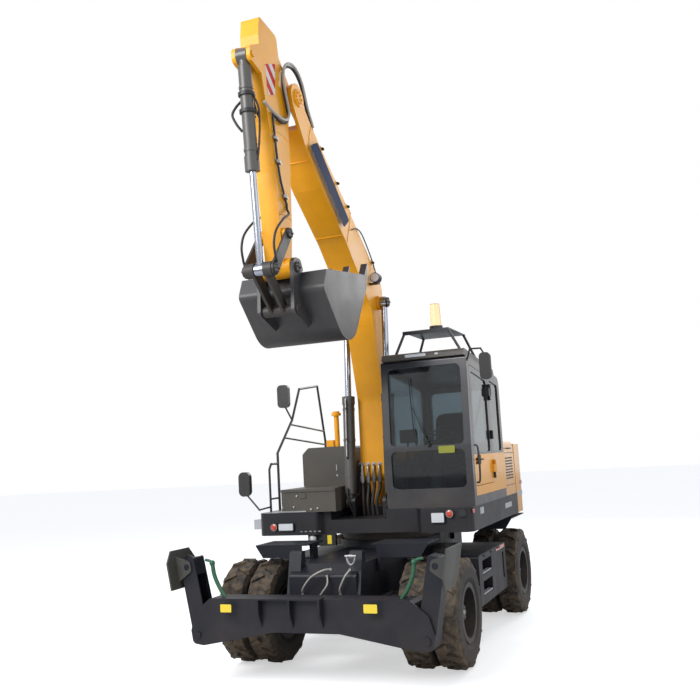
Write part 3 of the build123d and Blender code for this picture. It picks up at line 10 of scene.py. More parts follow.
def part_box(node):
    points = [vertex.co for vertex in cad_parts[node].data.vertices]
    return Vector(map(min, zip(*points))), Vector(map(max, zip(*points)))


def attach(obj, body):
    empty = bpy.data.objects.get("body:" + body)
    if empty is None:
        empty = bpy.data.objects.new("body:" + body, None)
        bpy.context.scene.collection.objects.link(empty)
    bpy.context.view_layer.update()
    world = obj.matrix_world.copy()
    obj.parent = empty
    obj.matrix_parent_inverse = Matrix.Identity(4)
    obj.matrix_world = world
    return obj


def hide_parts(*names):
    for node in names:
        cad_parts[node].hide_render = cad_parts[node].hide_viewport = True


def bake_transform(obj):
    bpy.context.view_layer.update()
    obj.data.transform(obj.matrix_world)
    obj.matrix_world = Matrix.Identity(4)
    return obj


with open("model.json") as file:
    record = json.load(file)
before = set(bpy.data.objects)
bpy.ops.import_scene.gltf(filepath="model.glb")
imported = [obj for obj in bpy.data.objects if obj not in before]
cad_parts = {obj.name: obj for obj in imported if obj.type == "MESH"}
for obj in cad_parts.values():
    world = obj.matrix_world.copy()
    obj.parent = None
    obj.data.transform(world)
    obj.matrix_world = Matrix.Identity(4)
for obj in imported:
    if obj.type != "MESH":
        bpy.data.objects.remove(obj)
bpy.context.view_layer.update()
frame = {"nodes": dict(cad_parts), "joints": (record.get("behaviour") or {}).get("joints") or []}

bl_info = {
    "name": "Wheeled Excavator Dressing",
    "version": (1, 0, 0),
    "blender": (4, 5, 0),
    "location": "View3D > Sidebar > Excavator",
    "description": "Adds the finishes, hoses, fasteners and trim of a wheeled excavator to its rigid frame",
    "category": "Object",
}

# Directions and places shared by several pieces, in metres
X, Y, Z = np.eye(3)
JOINT = {joint["name"]: np.array(joint["pos_m"]) for joint in frame["joints"] if joint.get("pos_m")}
FRONT_AXLE = JOINT["front_left_spin"] * (0, 1, 1)
REAR_AXLE = JOINT["rear_left_spin"] * (0, 1, 1)
HALF_TRACK = JOINT["front_left_spin"][0]
ARM_X = JOINT["boom_lift"][0]
BOOM_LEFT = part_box("boom")[1].x
CAB_LOW, CAB_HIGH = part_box("cab_shell")
DECK_LOW, DECK_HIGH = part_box("upper_deck")
LOCKER_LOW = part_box("tool_boxes")[0]
DECK_TOP = LOCKER_LOW.z
BEAM_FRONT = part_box("stabiliser_beam")[0].y
SEAT_LOW, SEAT_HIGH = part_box("seat")
BOOM_HALF, STICK_HALF = 0.165, 0.095
STICK_LEFT = ARM_X + STICK_HALF
HOOD_HALF, TAIL_LEFT, SIDE_BOX_HALF = 1.230, 1.235, 1.180
CHASSIS_FRONT = -1.500
PROUD = 0.0015
CREASE = 35.0
# The base pin and the eye of each cylinder of the arm, as (y, z)
LIFT = (0.120, 1.560), (0.295, 3.880)
CURL = (-2.530, 5.790), (-2.372, 3.810)
CROWD = (-0.300, 4.850), (-2.160, 6.120)
LIFT_SIDE = 0.245
FOOT_HOSES, FOOT_Y = (-0.205, -0.135, -0.065, 0.005), 0.262


# Sizes and colours that a user would change

def colour_field(label, about, value):
    return bpy.props.FloatVectorProperty(name=label, description=about, subtype='COLOR', size=3, min=0.0,
                                         max=1.0, default=value)


def number_field(label, about, value, unit='NONE'):
    return bpy.props.FloatProperty(name=label, description=about, default=value, unit=unit)


class FinishSettings(bpy.types.PropertyGroup):
    body_yellow: colour_field("Body Yellow", "Paint of the arm, hood and counterweight", (0.86, 0.37, 0.006))
    chassis_grey: colour_field("Chassis Grey", "Paint of the chassis and stabilisers", (0.007, 0.009, 0.016))
    deck_grey: colour_field("Deck Grey", "Paint of the turning deck", (0.011, 0.011, 0.015))
    locker_grey: colour_field("Locker Grey", "Paint of the tank and the tool locker", (0.075, 0.070, 0.060))
    cab_grey: colour_field("Cab Grey", "Paint of the cab's frame", (0.011, 0.012, 0.017))
    roof_grey: colour_field("Roof Grey", "Paint of the cab's roof", (0.095, 0.088, 0.078))
    panel_blue: colour_field("Panel Blue", "Blank panel along the boom", (0.022, 0.036, 0.085))
    dust: colour_field("Dust", "Dry soil on the treads and lower faces", (0.24, 0.17, 0.105))


class HoseSettings(bpy.types.PropertyGroup):
    hose_radius: number_field("Hose Radius", "Half the width of a rubber hose", 0.013, 'LENGTH')
    pipe_radius: number_field("Pipe Radius", "Half the width of a steel pipe", 0.011, 'LENGTH')
    sides: bpy.props.IntProperty(name="Sides", description="Flat sides round a hose", default=12, min=6)


class FastenerSettings(bpy.types.PropertyGroup):
    wheel_nuts: bpy.props.IntProperty(name="Wheel Nuts", description="Nuts on each wheel", default=10, min=4)


class StageSettings(bpy.types.PropertyGroup):
    camera_place: bpy.props.FloatVectorProperty(
        name="Camera Place", description="Where the camera stands", subtype='TRANSLATION', unit='LENGTH',
        size=3, default=(3.4215, -9.1267, 2.1015))
    camera_turn: bpy.props.FloatVectorProperty(
        name="Camera Turn", description="Yaw, pitch and roll of the camera", subtype='EULER', unit='ROTATION',
        size=3, default=(0.37512, 0.12301, -0.05555))
    lens: number_field("Lens", "Focal length on a 36 mm sensor", 43.714, 'CAMERA')
    key_power: number_field("Key Power", "Power of the main lamp", 1200.0)
    floor_lift: number_field("Floor Lift", "White that the camera sees added on the floor", 0.55)
    ambient: number_field("Ambient", "Strength of the soft light all round", 0.50)


# Shapes from arrays: each function gives (points, faces)

def unit(vector):
    return np.asarray(vector, float) / np.linalg.norm(vector)


def circle(sides):
    """cos a and sin a of equal turns, ready to multiply rows of directions."""
    angle = np.linspace(0, 2 * np.pi, sides, endpoint=False)[None, :, None]
    return np.cos(angle), np.sin(angle)


def ring_faces(rings, sides, closed=False):
    """Quads between rings: (i, j), (i, j+1), (i+1, j+1), (i+1, j). A closed set joins its last to its first."""
    row, column = np.meshgrid(np.arange(rings if closed else rings - 1), np.arange(sides), indexing='ij')
    after, below = (column + 1) % sides, (row + 1) % rings
    corners = ((row, column), (row, after), (below, after), (below, column))
    return np.stack([i * sides + j for i, j in corners], axis=-1).reshape(-1, 4).tolist()


def capped(points, rings, sides):
    """Rings of points joined by quads, with a flat cap at each end."""
    last = (rings - 1) * sides
    faces = ring_faces(rings, sides)
    faces.append(list(range(sides))[::-1])
    faces.append(list(range(last, last + sides)))
    return points.reshape(-1, 3), faces


def smooth_route(points):
    """Catmull-Rom curve, for each four points a, b, c, d in turn:
    p(t) = ½(2b + (c−a)t + (2a−5b+4c−d)t² + (3b−a−3c+d)t³)."""
    route = np.asarray(points, float)
    route = np.vstack([2 * route[0] - route[1], route, 2 * route[-1] - route[-2]])
    t = np.linspace(0, 1, 7, endpoint=False)[:, None, None]
    a, b, c, d = route[:-3], route[1:-2], route[2:-1], route[3:]
    curve = 0.5 * (2 * b + (c - a) * t + (2 * a - 5 * b + 4 * c - d) * t ** 2
                   + (3 * b - a - 3 * c + d) * t ** 3)
    return np.vstack([curve.transpose(1, 0, 2).reshape(-1, 3), route[-2]])


def tube(points, radius, sides=12, straight=False):
    """A tube: p(s, a) = c(s) + r (cos a · n(s) + sin a · b(s)), n across the route and b square to both."""
    route = np.asarray(points, float) if straight else smooth_route(points)
    tangent = np.gradient(route, axis=0)
    tangent /= np.linalg.norm(tangent, axis=1)[:, None]
    normal = np.cross(tangent, np.eye(3)[np.argmin(np.abs(tangent).max(axis=0))])
    normal /= np.linalg.norm(normal, axis=1)[:, None]
    binormal = np.cross(tangent, normal)
    cosine, sine = circle(sides)
    rings = route[:, None, :] + radius * (cosine * normal[:, None, :] + sine * binormal[:, None, :])
    return capped(rings, len(route), sides)


def side_tube(x, rows, radius, sides=6):
    """A tube along rows of (y, z) at one x."""
    return tube([(x, y, z) for y, z in rows], radius, sides)


def turned(rows, base, axis, sides=24):
    """A turned piece: p(k, a) = base + along(k) · axis + radius(k) (cos a · n + sin a · b)."""
    rows = np.asarray(rows, float)
    axis = unit(axis)
    normal = unit(np.cross(axis, np.eye(3)[np.argmin(np.abs(axis))]))
    cosine, sine = circle(sides)
    rings = (np.asarray(base, float) + rows[:, 0, None, None] * axis
             + rows[:, 1, None, None] * (cosine * normal + sine * np.cross(axis, normal)))
    return capped(rings, len(rows), sides)


def bar(base, axis, half, radius, sides=12):
    """A round bar whose middle is at base."""
    return turned([(-half, radius), (half, radius)], base, axis, sides)


def band(base, axis, half, inner, outer):
    """A ring with a bore: its four edge circles (±half, inner or outer) are joined in a closed round."""
    points, _ = turned([(-half, outer), (half, outer), (half, inner), (-half, inner)], base, axis, 28)
    return points, ring_faces(4, 28, closed=True)


def slab(outline, base, across, up, depth):
    """A plate: each outline point (u, v) is base + u · across + v · up, and its copy a depth further out."""
    outline = np.asarray(outline, float)
    flat = np.asarray(base, float) + outline[:, :1] * across + outline[:, 1:] * up
    return capped(np.stack([flat, flat + depth * np.cross(across, up)]), 2, len(outline))


def oblong(low, high, radius):
    """A rounded oblong: four corner arcs, each c + r (cos a, sin a) over a quarter turn."""
    (left, bottom), (right, top) = np.add(low, radius), np.subtract(high, radius)
    centres = np.array([(right, top), (left, top), (left, bottom), (right, bottom)])
    angle = (np.linspace(0, np.pi / 2, 5)[None, :] + np.arange(4)[:, None] * np.pi / 2)[..., None]
    arcs = radius * np.concatenate([np.cos(angle), np.sin(angle)], axis=-1)
    return (centres[:, None, :] + arcs).reshape(-1, 2)


def bolt(base, axis, radius, height):
    """A hexagon head on a thin washer."""
    washer = turned([(0, radius * 1.35), (height * 0.2, radius * 1.35)], base, axis, 16)
    head = turned([(height * 0.2, radius), (height, radius), (height * 1.12, radius * 0.8)], base, axis, 6)
    return joined([washer, head])


def ball(centre, radius, sides=16):
    """A ball turned about Z: along = −r cos t, radius = r sin t."""
    t = np.linspace(0.02, np.pi - 0.02, sides // 2 + 1)
    return turned(np.column_stack([-radius * np.cos(t), radius * np.sin(t)]), centre, Z, sides)


def joined(shapes):
    """Several shapes as one."""
    points, faces, count = [], [], 0
    for shape_points, shape_faces in shapes:
        points.append(shape_points)
        faces += [[corner + count for corner in face] for face in shape_faces]
        count += len(shape_points)
    return np.vstack(points), faces


def mesh_piece(name, shapes, finish, body=None):
    """One mesh object from one shape or several, finished and riding on a body."""
    points, faces = joined(shapes) if isinstance(shapes, list) else shapes
    mesh = bpy.data.meshes.new(name)
    mesh.from_pydata(points.tolist(), [], faces)
    mesh.polygons.foreach_set("use_smooth", np.ones(len(mesh.polygons), bool))
    mesh.set_sharp_from_angle(angle=math.radians(CREASE))
    mesh.materials.append(FINISHES[finish])
    piece = bpy.data.objects.new(name, mesh)
    bpy.context.collection.objects.link(piece)
    if body:
        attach(piece, body)
    return piece


# Materials, all on Object coordinates

FINISHES = {}


def linked_node(tree, kind, values=None, **sources):
    """Adds a node, sets values by input or attribute and links its inputs: _2 is an input's number, and
    elsewhere an underscore stands for a space."""
    made = tree.nodes.new(kind)
    for key, value in (values or {}).items():
        if isinstance(key, int) or key in made.inputs:
            made.inputs[key].default_value = value
        else:
            setattr(made, key, value)
    for key, source in sources.items():
        socket = made.inputs[int(key[1:])] if key[0] == "_" else made.inputs[key.replace("_", " ")]
        tree.links.new(source, socket)
    return made


def tuned(node, **values):
    """Sets a node's inputs; an underscore stands for a space."""
    for key, value in values.items():
        node.inputs[key.replace("_", " ")].default_value = value


def maths(tree, operation, *terms, clamp=False):
    """What a maths node gives for its terms, each a socket or a number."""
    values = {number: term for number, term in enumerate(terms) if isinstance(term, (int, float))}
    sources = {f"_{number}": term for number, term in enumerate(terms) if number not in values}
    values.update(operation=operation, use_clamp=clamp)
    return linked_node(tree, 'ShaderNodeMath', values, **sources).outputs[0]


def ranged(tree, value, low, high, new_low=0.0, new_high=1.0):
    """A value between low and high taken to between new_low and new_high, and held at its ends."""
    limits = {"From Min": low, "From Max": high, "To Min": new_low, "To Max": new_high}
    return linked_node(tree, 'ShaderNodeMapRange', limits, Value=value).outputs[0]


def weather_group():
    """Shared effect: broad stains, fine grain and dust that thickens towards the ground."""
    group = bpy.data.node_groups.new("weather", 'ShaderNodeTree')
    for way, kind, names in (
            ('INPUT', 'Vector', ("Place",)), ('INPUT', 'Color', ("Colour", "Dust")),
            ('INPUT', 'Float', ("Dust Height", "Dust Amount", "Roughness", "Grain Scale")),
            ('OUTPUT', 'Color', ("Colour",)), ('OUTPUT', 'Float', ("Roughness", "Height"))):
        for name in names:
            group.interface.new_socket(name, in_out=way, socket_type='NodeSocket' + kind)
    given = group.nodes.new('NodeGroupInput').outputs
    result = group.nodes.new('NodeGroupOutput').inputs
    stains = linked_node(group, 'ShaderNodeTexNoise', {"Scale": 2.6, "Detail": 6.0, "Roughness": 0.6},
                         Vector=given["Place"]).outputs["Fac"]
    grain = linked_node(group, 'ShaderNodeTexNoise', {"Detail": 3.0}, Vector=given["Place"],
                        Scale=given["Grain Scale"]).outputs["Fac"]
    height = linked_node(group, 'ShaderNodeSeparateXYZ', Vector=given["Place"]).outputs["Z"]
    fall = ranged(group, maths(group, 'DIVIDE', height, given["Dust Height"]), 0.0, 1.0, 1.0, 0.0)
    cover = maths(group, 'MULTIPLY', fall, ranged(group, stains, 0.35, 0.68, 0.25, 1.0))
    cover = maths(group, 'MULTIPLY', cover, given["Dust Amount"], clamp=True)
    varied = linked_node(group, 'ShaderNodeVectorMath', {"operation": 'SCALE'}, _0=given["Colour"],
                         Scale=ranged(group, stains, 0.3, 0.7, 0.9, 1.06)).outputs[0]
    dusty = linked_node(group, 'ShaderNodeMix', {"data_type": 'RGBA'}, _0=cover, _6=varied, _7=given["Dust"])
    rough = maths(group, 'ADD', ranged(group, stains, 0.3, 0.7, -0.06, 0.1), given["Roughness"])
    rough = maths(group, 'MULTIPLY_ADD', cover, 0.45, rough, clamp=True)
    for name, source in (("Colour", dusty.outputs[2]), ("Roughness", rough), ("Height", grain)):
        group.links.new(source, result[name])


def weathered(name, colour, roughness, metallic=0.0, coat=0.0, dust_height=1.2, dust_amount=0.5, grain=60.0,
              bump=0.0004, gloss=0.5):
    """A Principled material whose colour, roughness and bump come through the shared weather group. Gives its
    tree, its weather node and its Object coordinates."""
    material = FINISHES[name] = bpy.data.materials.new(name)
    material.use_nodes = True
    tree = material.node_tree
    shader = tree.nodes["Principled BSDF"]
    tuned(shader, Metallic=metallic, Coat_Weight=coat, Specular_IOR_Level=gloss, Coat_Roughness=0.12)
    place = linked_node(tree, 'ShaderNodeTexCoord').outputs["Object"]
    weather = linked_node(tree, 'ShaderNodeGroup', {
        "node_tree": bpy.data.node_groups["weather"], "Colour": (*colour, 1.0),
        "Dust": (*bpy.context.scene.excavator_finish.dust, 1.0), "Dust Height": dust_height,
        "Dust Amount": dust_amount, "Roughness": roughness, "Grain Scale": grain}, Place=place)
    relief = linked_node(tree, 'ShaderNodeBump', {"Distance": bump}, Height=weather.outputs["Height"])
    tree.links.new(weather.outputs["Colour"], shader.inputs["Base Color"])
    tree.links.new(weather.outputs["Roughness"], shader.inputs["Roughness"])
    tree.links.new(relief.outputs["Normal"], shader.inputs["Normal"])
    return tree, weather, place


def mixed(tree, weather, share, first, second):
    """Two colours mixed by a share, as the weather node's colour."""
    mix = linked_node(tree, 'ShaderNodeMix', {"data_type": 'RGBA', 6: (*first, 1), 7: (*second, 1)}, _0=share)
    tree.links.new(mix.outputs[2], weather.inputs["Colour"])


def two_tone(name, colour, other, roughness, ranges, **looks):
    """A weathered material with another colour inside a box of Object coordinates, (low, high) by axis."""
    tree, weather, place = weathered(name, colour, roughness, **looks)
    axes = linked_node(tree, 'ShaderNodeSeparateXYZ', Vector=place).outputs
    inside = 1.0
    for axis, (low, high) in zip(axes, ranges):
        for operation, limit in (('GREATER_THAN', low), ('LESS_THAN', high)):
            inside = maths(tree, 'MULTIPLY', inside, maths(tree, operation, axis, limit))
    mixed(tree, weather, inside, colour, other)


def tread_rubber(name, axle):
    """Tyre rubber whose tread, told by its distance from the axle, is caked with dry soil."""
    rubber = (0.014, 0.013, 0.013)
    tree, weather, place = weathered(name, rubber, 0.72, dust_height=0.9, dust_amount=0.22, grain=90.0,
                                     bump=0.002)
    arm = linked_node(tree, 'ShaderNodeVectorMath', {"operation": 'SUBTRACT', 1: tuple(axle)}, _0=place)
    flat = linked_node(tree, 'ShaderNodeVectorMath', {"operation": 'MULTIPLY', 1: (0, 1, 1)}, _0=arm.outputs[0])
    distance = linked_node(tree, 'ShaderNodeVectorMath', {"operation": 'LENGTH'}, _0=flat.outputs[0])
    clods = linked_node(tree, 'ShaderNodeTexNoise', {"Scale": 14.0, "Detail": 5.0}, Vector=place)
    cake = maths(tree, 'MULTIPLY', ranged(tree, distance.outputs["Value"], 0.40, 0.505),
                 ranged(tree, clods.outputs["Fac"], 0.36, 0.62))
    soil = [0.46 * channel for channel in bpy.context.scene.excavator_finish.dust]
    mixed(tree, weather, cake, rubber, soil)


def striped(name, first, second, width, lean, about):
    """Slanting bands of two colours on the plane of a sticker: band = fract((z + lean · y) / width) > ½."""
    tree, weather, place = weathered(name, first, 0.5, dust_amount=0.0, gloss=0.1)
    arm = linked_node(tree, 'ShaderNodeVectorMath', {"operation": 'SUBTRACT', 1: about}, _0=place)
    axes = linked_node(tree, 'ShaderNodeSeparateXYZ', Vector=arm.outputs[0]).outputs
    slant = maths(tree, 'MULTIPLY_ADD', axes["Y"], lean, axes["Z"])
    bands = maths(tree, 'FRACT', maths(tree, 'DIVIDE', slant, width))
    mixed(tree, weather, maths(tree, 'GREATER_THAN', bands, 0.5), first, second)


def clear(name, colour, roughness, glow=0.0):
    """Glass or clear plastic, with a faint unevenness."""
    tree = weathered(name, colour, roughness, dust_amount=0.0, grain=1.5, bump=0.00002)[0]
    shader = tree.nodes["Principled BSDF"]
    tuned(shader, Transmission_Weight=1.0, IOR=1.45)
    if glow:
        tuned(shader, Emission_Color=(*colour, 1.0), Emission_Strength=glow)


# Each finish and its nodes, by name or by the start of it
NODES_OF_FINISH = {
    "front tread": "tyres_front", "rear tread": "tyres_rear", "rim paint": "rims", "pad paint": "foot_pad",
    "barrel grey": "boom_cylinder_barrels stick_cylinder_barrel bucket_cylinder_barrel",
    "chrome": "boom_cylinder_rods stick_cylinder_rod bucket_cylinder_rod", "bucket steel": "bucket",
    "body yellow": "boom stick intake_post", "link steel": "rocker_arms bucket_link slew_ring",
    "black plastic": "work_lamp mirrors lamps seat_base steering_column", "rail black": "handrails",
    "deck grey": "upper_deck", "locker grey": "tool_boxes fuel_tank", "amber lens": "beacon",
    "cab side": "cab_shell cab_door", "roof grey": "cab_roof", "cab grey": "roof_guard",
    "cab glass": "cab_glass door_glass", "seat cloth": "seat", "hood yellow": "engine_hood counterweight",
    "engine iron": "engine",
}
NODE_FINISH = {start: finish for finish, starts in NODES_OF_FINISH.items() for start in starts.split()}


class EXCAVATOR_OT_paint(bpy.types.Operator):
    """Gives every CAD node its finish"""
    bl_idname = "excavator.paint"
    bl_label = "Paint the Frame"

    def execute(self, context):
        look = context.scene.excavator_finish
        weather_group()
        # Columns: finish, colour, roughness, metallic, coat, dust height, dust amount, grain, bump, gloss.
        # A short row leaves the rest at the defaults of weathered.
        for row in (
                ("body yellow", look.body_yellow, 0.42, 0, 0.08, 3.0, 0.12, 300, 0.0001, 0.3),
                ("hood yellow", look.body_yellow, 0.25, 0, 0.6, 2.3, 0.75, 300, 0.0001),
                ("chassis grey", look.chassis_grey, 0.45, 0, 0, 1.3, 0.14, 200, 0.0002, 0.28),
                ("deck grey", look.deck_grey, 0.42, 0, 0, 1.5, 0.2, 60, 0.0004, 0.35),
                ("locker grey", look.locker_grey, 0.45, 0, 0, 2.6, 0.2, 60, 0.0004, 0.3),
                ("cab grey", look.cab_grey, 0.4, 0, 0.2, 2.2, 0.15),
                ("roof grey", look.roof_grey, 0.4, 0, 0.1, 3.3, 0.2, 60, 0.0004, 0.3),
                ("barrel grey", (0.075, 0.072, 0.066), 0.38, 0, 0.1, 2.0, 0.1),
                ("link steel", (0.035, 0.034, 0.034), 0.5, 0.3, 0, 5.0, 0.3),
                ("bucket steel", (0.040, 0.041, 0.046), 0.42, 0.25, 0.1, 4.2, 0.45, 25, 0.001),
                ("pad paint", (0.030, 0.034, 0.032), 0.5, 0, 0, 1.4, 0.5),
                ("rim paint", (0.012, 0.012, 0.014), 0.5, 0, 0, 0.9, 0.35),
                ("chrome", (0.34, 0.36, 0.42), 0.16, 1, 0, 1.2, 0.1, 400, 0.00005),
                ("bright steel", (0.36, 0.36, 0.36), 0.34, 1, 0, 1.2, 0.2, 150),
                ("black plastic", (0.009, 0.009, 0.010), 0.5, 0, 0, 1.2, 0.3, 200, 0.0003),
                ("rail black", (0.014, 0.014, 0.015), 0.35, 0, 0.3, 2.0, 0.2),
                ("rubber", (0.012, 0.012, 0.013), 0.6, 0, 0, 2.0, 0.35, 500, 0.0003),
                ("pale hose", (0.42, 0.40, 0.36), 0.45, 0, 0, 1.2, 0.4),
                ("engine iron", (0.06, 0.06, 0.06), 0.65, 0.4, 0, 1.2, 0.5, 40, 0.002),
                ("seat cloth", (0.020, 0.020, 0.023), 0.9, 0, 0, 1.2, 0, 900, 0.0006),
                ("panel blue", look.panel_blue, 0.6, 0, 0, 1.2, 0, 60, 0.0004, 0.08),
                ("label yellow", (0.83, 0.62, 0.03), 0.4, 0, 0, 1.4, 0.25),
                ("label green", (0.27, 0.28, 0.02), 0.4, 0, 0, 1.2, 0),
                ("pale plate", (0.45, 0.46, 0.48), 0.35, 0.3, 0, 1.6, 0.3),
                ("green strip", (0.006, 0.10, 0.045), 0.45, 0, 0, 1.4, 0.35),
                ("red cloth", (0.42, 0.012, 0.012), 0.8, 0, 0, 1.2, 0, 700, 0.0005),
                ("mirror silver", (0.85, 0.86, 0.88), 0.03, 1, 0, 1.2, 0, 60, 0.00001),
                ("lamp glass", (0.66, 0.68, 0.70), 0.12, 0, 0.8, 1.2, 0, 220, 0.0012),
                ("red lens", (0.55, 0.045, 0.015), 0.15, 0, 0.8, 1.2, 0, 220, 0.0008)):
            weathered(*row)
        two_tone("cab side", look.cab_grey, look.body_yellow, 0.32,
                 ((CAB_HIGH.x - 0.1, CAB_HIGH.x + 0.1), (CAB_LOW.y + 0.10, CAB_HIGH.y), (1.60, 2.035)),
                 coat=0.4, dust_height=2.0, dust_amount=0.6)
        striped("warning bands", (0.78, 0.75, 0.70), (0.60, 0.008, 0.012), 0.19, 0.9, (STICK_LEFT, -2.18, 5.60))
        clear("cab glass", (0.25, 0.31, 0.34), 0.02)
        clear("amber lens", (0.95, 0.72, 0.42), 0.2, 0.12)
        tread_rubber("front tread", FRONT_AXLE)
        tread_rubber("rear tread", REAR_AXLE)
        for name, node in frame["nodes"].items():
            starts = [start for start in NODE_FINISH if name.startswith(start)]
            finish = NODE_FINISH[max(starts, key=len)] if starts else "chassis grey"
            node.data.materials.clear()
            node.data.materials.append(FINISHES[finish])
        return {'FINISHED'}


# Plates, caps, clips and collars

def rounded(outline, radius):
    """Rounds each corner c by p(t) = (1−t)² a + 2t(1−t) c + t² b, where a and b lie a radius away from c
    along its two edges."""
    corner = np.asarray(outline, float)
    before, after = np.roll(corner, 1, axis=0) - corner, np.roll(corner, -1, axis=0) - corner
    start = corner + radius * before / np.linalg.norm(before, axis=1)[:, None]
    end = corner + radius * after / np.linalg.norm(after, axis=1)[:, None]
    t = np.linspace(0, 1, 5)[None, :, None]
    curve = (1 - t) ** 2 * start[:, None] + 2 * t * (1 - t) * corner[:, None] + t ** 2 * end[:, None]
    return curve.reshape(-1, 2)


def wound(rows):
    """The rows in anticlockwise order, told by the sign of the area they enclose."""
    rows = np.asarray(rows, float)
    after = np.roll(rows, -1, axis=0)
    area = np.sum(rows[:, 0] * after[:, 1] - rows[:, 1] * after[:, 0])
    return rows if area > 0 else rows[::-1]


def corners(low, high):
    """The four corners of an oblong."""
    return [low, (high[0], low[1]), high, (low[0], high[1])]


def left_plate(rows, x, depth=PROUD, radius=0.01):
    """A plate on a face that looks to +X, from rows of (y, z)."""
    return slab(rounded(wound(rows), radius), X * x, Y, Z, depth)


def right_plate(rows, x, depth=PROUD, radius=0.01):
    """A plate on a face that looks to −X, from rows of (y, z)."""
    return slab(rounded(wound(np.fliplr(rows)), radius), X * x, Z, Y, depth)


def side_plates(low, high, half, depth=PROUD, radius=0.01):
    """The same oblong plate on the machine's left and right faces, from its lowest and highest (y, z)."""
    rows = corners(low, high)
    return [left_plate(rows, half, depth, radius), right_plate(rows, -half, depth, radius)]


def front_plate(low, high, y, depth=PROUD, radius=0.008):
    """A plate on a face that looks to −Y, from its lowest and highest (x, z)."""
    return slab(oblong(low, high, radius), Y * y, X, Z, depth)


def rear_plate(low, high, y, depth=PROUD, radius=0.008):
    """A plate on a face that looks to +Y, from its lowest and highest (x, z)."""
    return slab(oblong(low[::-1], high[::-1], radius), Y * y, Z, X, depth)


def top_plate(low, high, z, depth=PROUD, radius=0.008):
    """A plate on a face that looks up, from its lowest and highest (x, y)."""
    return slab(oblong(low, high, radius), Z * z, X, Y, depth)


def pin_cap(y, z, x, side, radius, bolts):
    """A turned cap over a pin's end, with bolts on a ring: place(k) = centre + 0.66 r (cos kτ/n, sin kτ/n)."""
    out = X * side
    centre = np.array((x, y, z))
    rows = [(0, radius), (0.010, radius), (0.016, radius * 0.9), (0.016, radius * 0.35), (0.012, radius * 0.3)]
    turns = np.arange(bolts) * 2 * np.pi / bolts
    places = centre + out * 0.016 + 0.66 * radius * (np.cos(turns)[:, None] * Y + np.sin(turns)[:, None] * Z)
    return [turned(rows, centre, out, 32), *(bolt(place, out, radius * 0.13, 0.010) for place in places)]


def clip(place, axis, out, radius):
    """A saddle clip over a pipe: a short wide strap round it and a bolt into the surface on each side."""
    side = np.cross(unit(axis), out)
    strap = bar(place, axis, 0.016, radius * 1.5)
    return [strap, *(bolt(place + side * radius * 2.4 * sign - out * radius, out, radius * 0.8, 0.008)
                     for sign in (-1, 1))]


def course(line):
    """The direction from a cylinder's base pin to its eye."""
    return unit(np.subtract(line[1], line[0]) @ np.array((Y, Z)))


def beside(line, along, out, x):
    """A point along metres from a cylinder's base pin and out metres to the front of its line, at x."""
    run = course(line)
    return np.array((x, *line[0])) + run * along + np.cross(X, run) * out


def collar(line, along, half, inner, outer, x=ARM_X):
    """A band round a cylinder, along metres from its base pin."""
    return band(beside(line, along, 0, x), course(line), half, inner, outer)


class EXCAVATOR_OT_hoses(bpy.types.Operator):
    """Rubber hoses that bridge the joints of the arm"""
    bl_idname = "excavator.hoses"
    bl_label = "Hoses"

    def execute(self, context):
        size = context.scene.excavator_hoses
        thick, sides = size.hose_radius, size.sides
        bundle = []
        for number, x in enumerate(FOOT_HOSES):
            low = x * 0.8 - 0.035
            bundle.append(tube([(x, FOOT_Y, 1.80), (x, FOOT_Y, 1.72), (low, 0.235 - 0.012 * (number % 2), 1.56),
                                (low, 0.240, 1.402)], thick * 1.5, sides))
        hoses = mesh_piece("boom_foot_hoses", bundle, "rubber")
        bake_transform(hoses)
        arch = np.array([(0.078, -1.36, 5.450), (0.074, -1.47, 5.62), (0.068, -1.57, 5.85),
                         (0.062, -1.70, 5.955), (0.058, -1.84, 5.950), (0.056, -1.95, 5.86),
                         (0.056, -1.975, 5.70), (0.056, -1.915, 5.52), (0.056, -1.885, 5.41),
                         (0.058, -1.96, 5.325), (0.058, -2.09, 5.300), (0.050, -2.20, 5.330)])
        mirrored = (arch - (ARM_X, 0, 0)) * (-1, 1, 1) + (ARM_X, 0, 0)
        pale = np.vstack([arch[:-1] + (0.014, -0.004, 0.028), [(0.066, -2.27, 5.345), (0.060, -2.40, 5.38)]])
        over = [tube(route, thick, sides) for route in (arch, mirrored, mirrored - (0.028, 0.004, -0.026))]
        for name, shapes, finish in (("boom_tip_hoses", over, "rubber"),
                                     ("boom_tip_pale_hose", tube(pale, thick * 1.1, sides), "pale hose")):
            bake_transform(mesh_piece(name, shapes, finish))
        linkage = [tube([(start, -1.985, 4.515), (start, -1.985, 4.46), (x, -2.06, 4.385),
                         (x + 0.02, -2.22, 4.30), (x + 0.02, -2.38, 4.16), (x + 0.015, -2.43, 4.03),
                         (x + 0.01, -2.40, 3.92), (x + 0.004, -2.36, 3.865)], thick * 0.85, sides)
                   for start, x in ((0.045, 0.095), (-0.175, -0.235))]
        reach = mesh_piece("linkage_hoses", linkage, "rubber")
        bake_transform(reach)
        feed = [side_tube(x, ((-2.31, 5.28), (-2.37, 5.34), (-2.415, 5.42), (-2.436, 5.50)), thick * 0.8, sides)
                for x in (-0.045, -0.085)]
        supply = mesh_piece("bucket_cylinder_hoses", feed, "rubber")
        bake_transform(supply)
        for side, name in ((1, "left"), (-1, "right")):
            x = ARM_X + side * LIFT_SIDE
            low = tube([beside(LIFT, 0.16, 0.092, x), beside(LIFT, 0.06, 0.10, x),
                        (x - 0.03 * side, 0.035, 1.50), (x - 0.06 * side, 0.06, 1.402)], thick, sides)
            feed = mesh_piece(f"lift_{name}_hose", low, "rubber")
            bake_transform(feed)
        return {'FINISHED'}


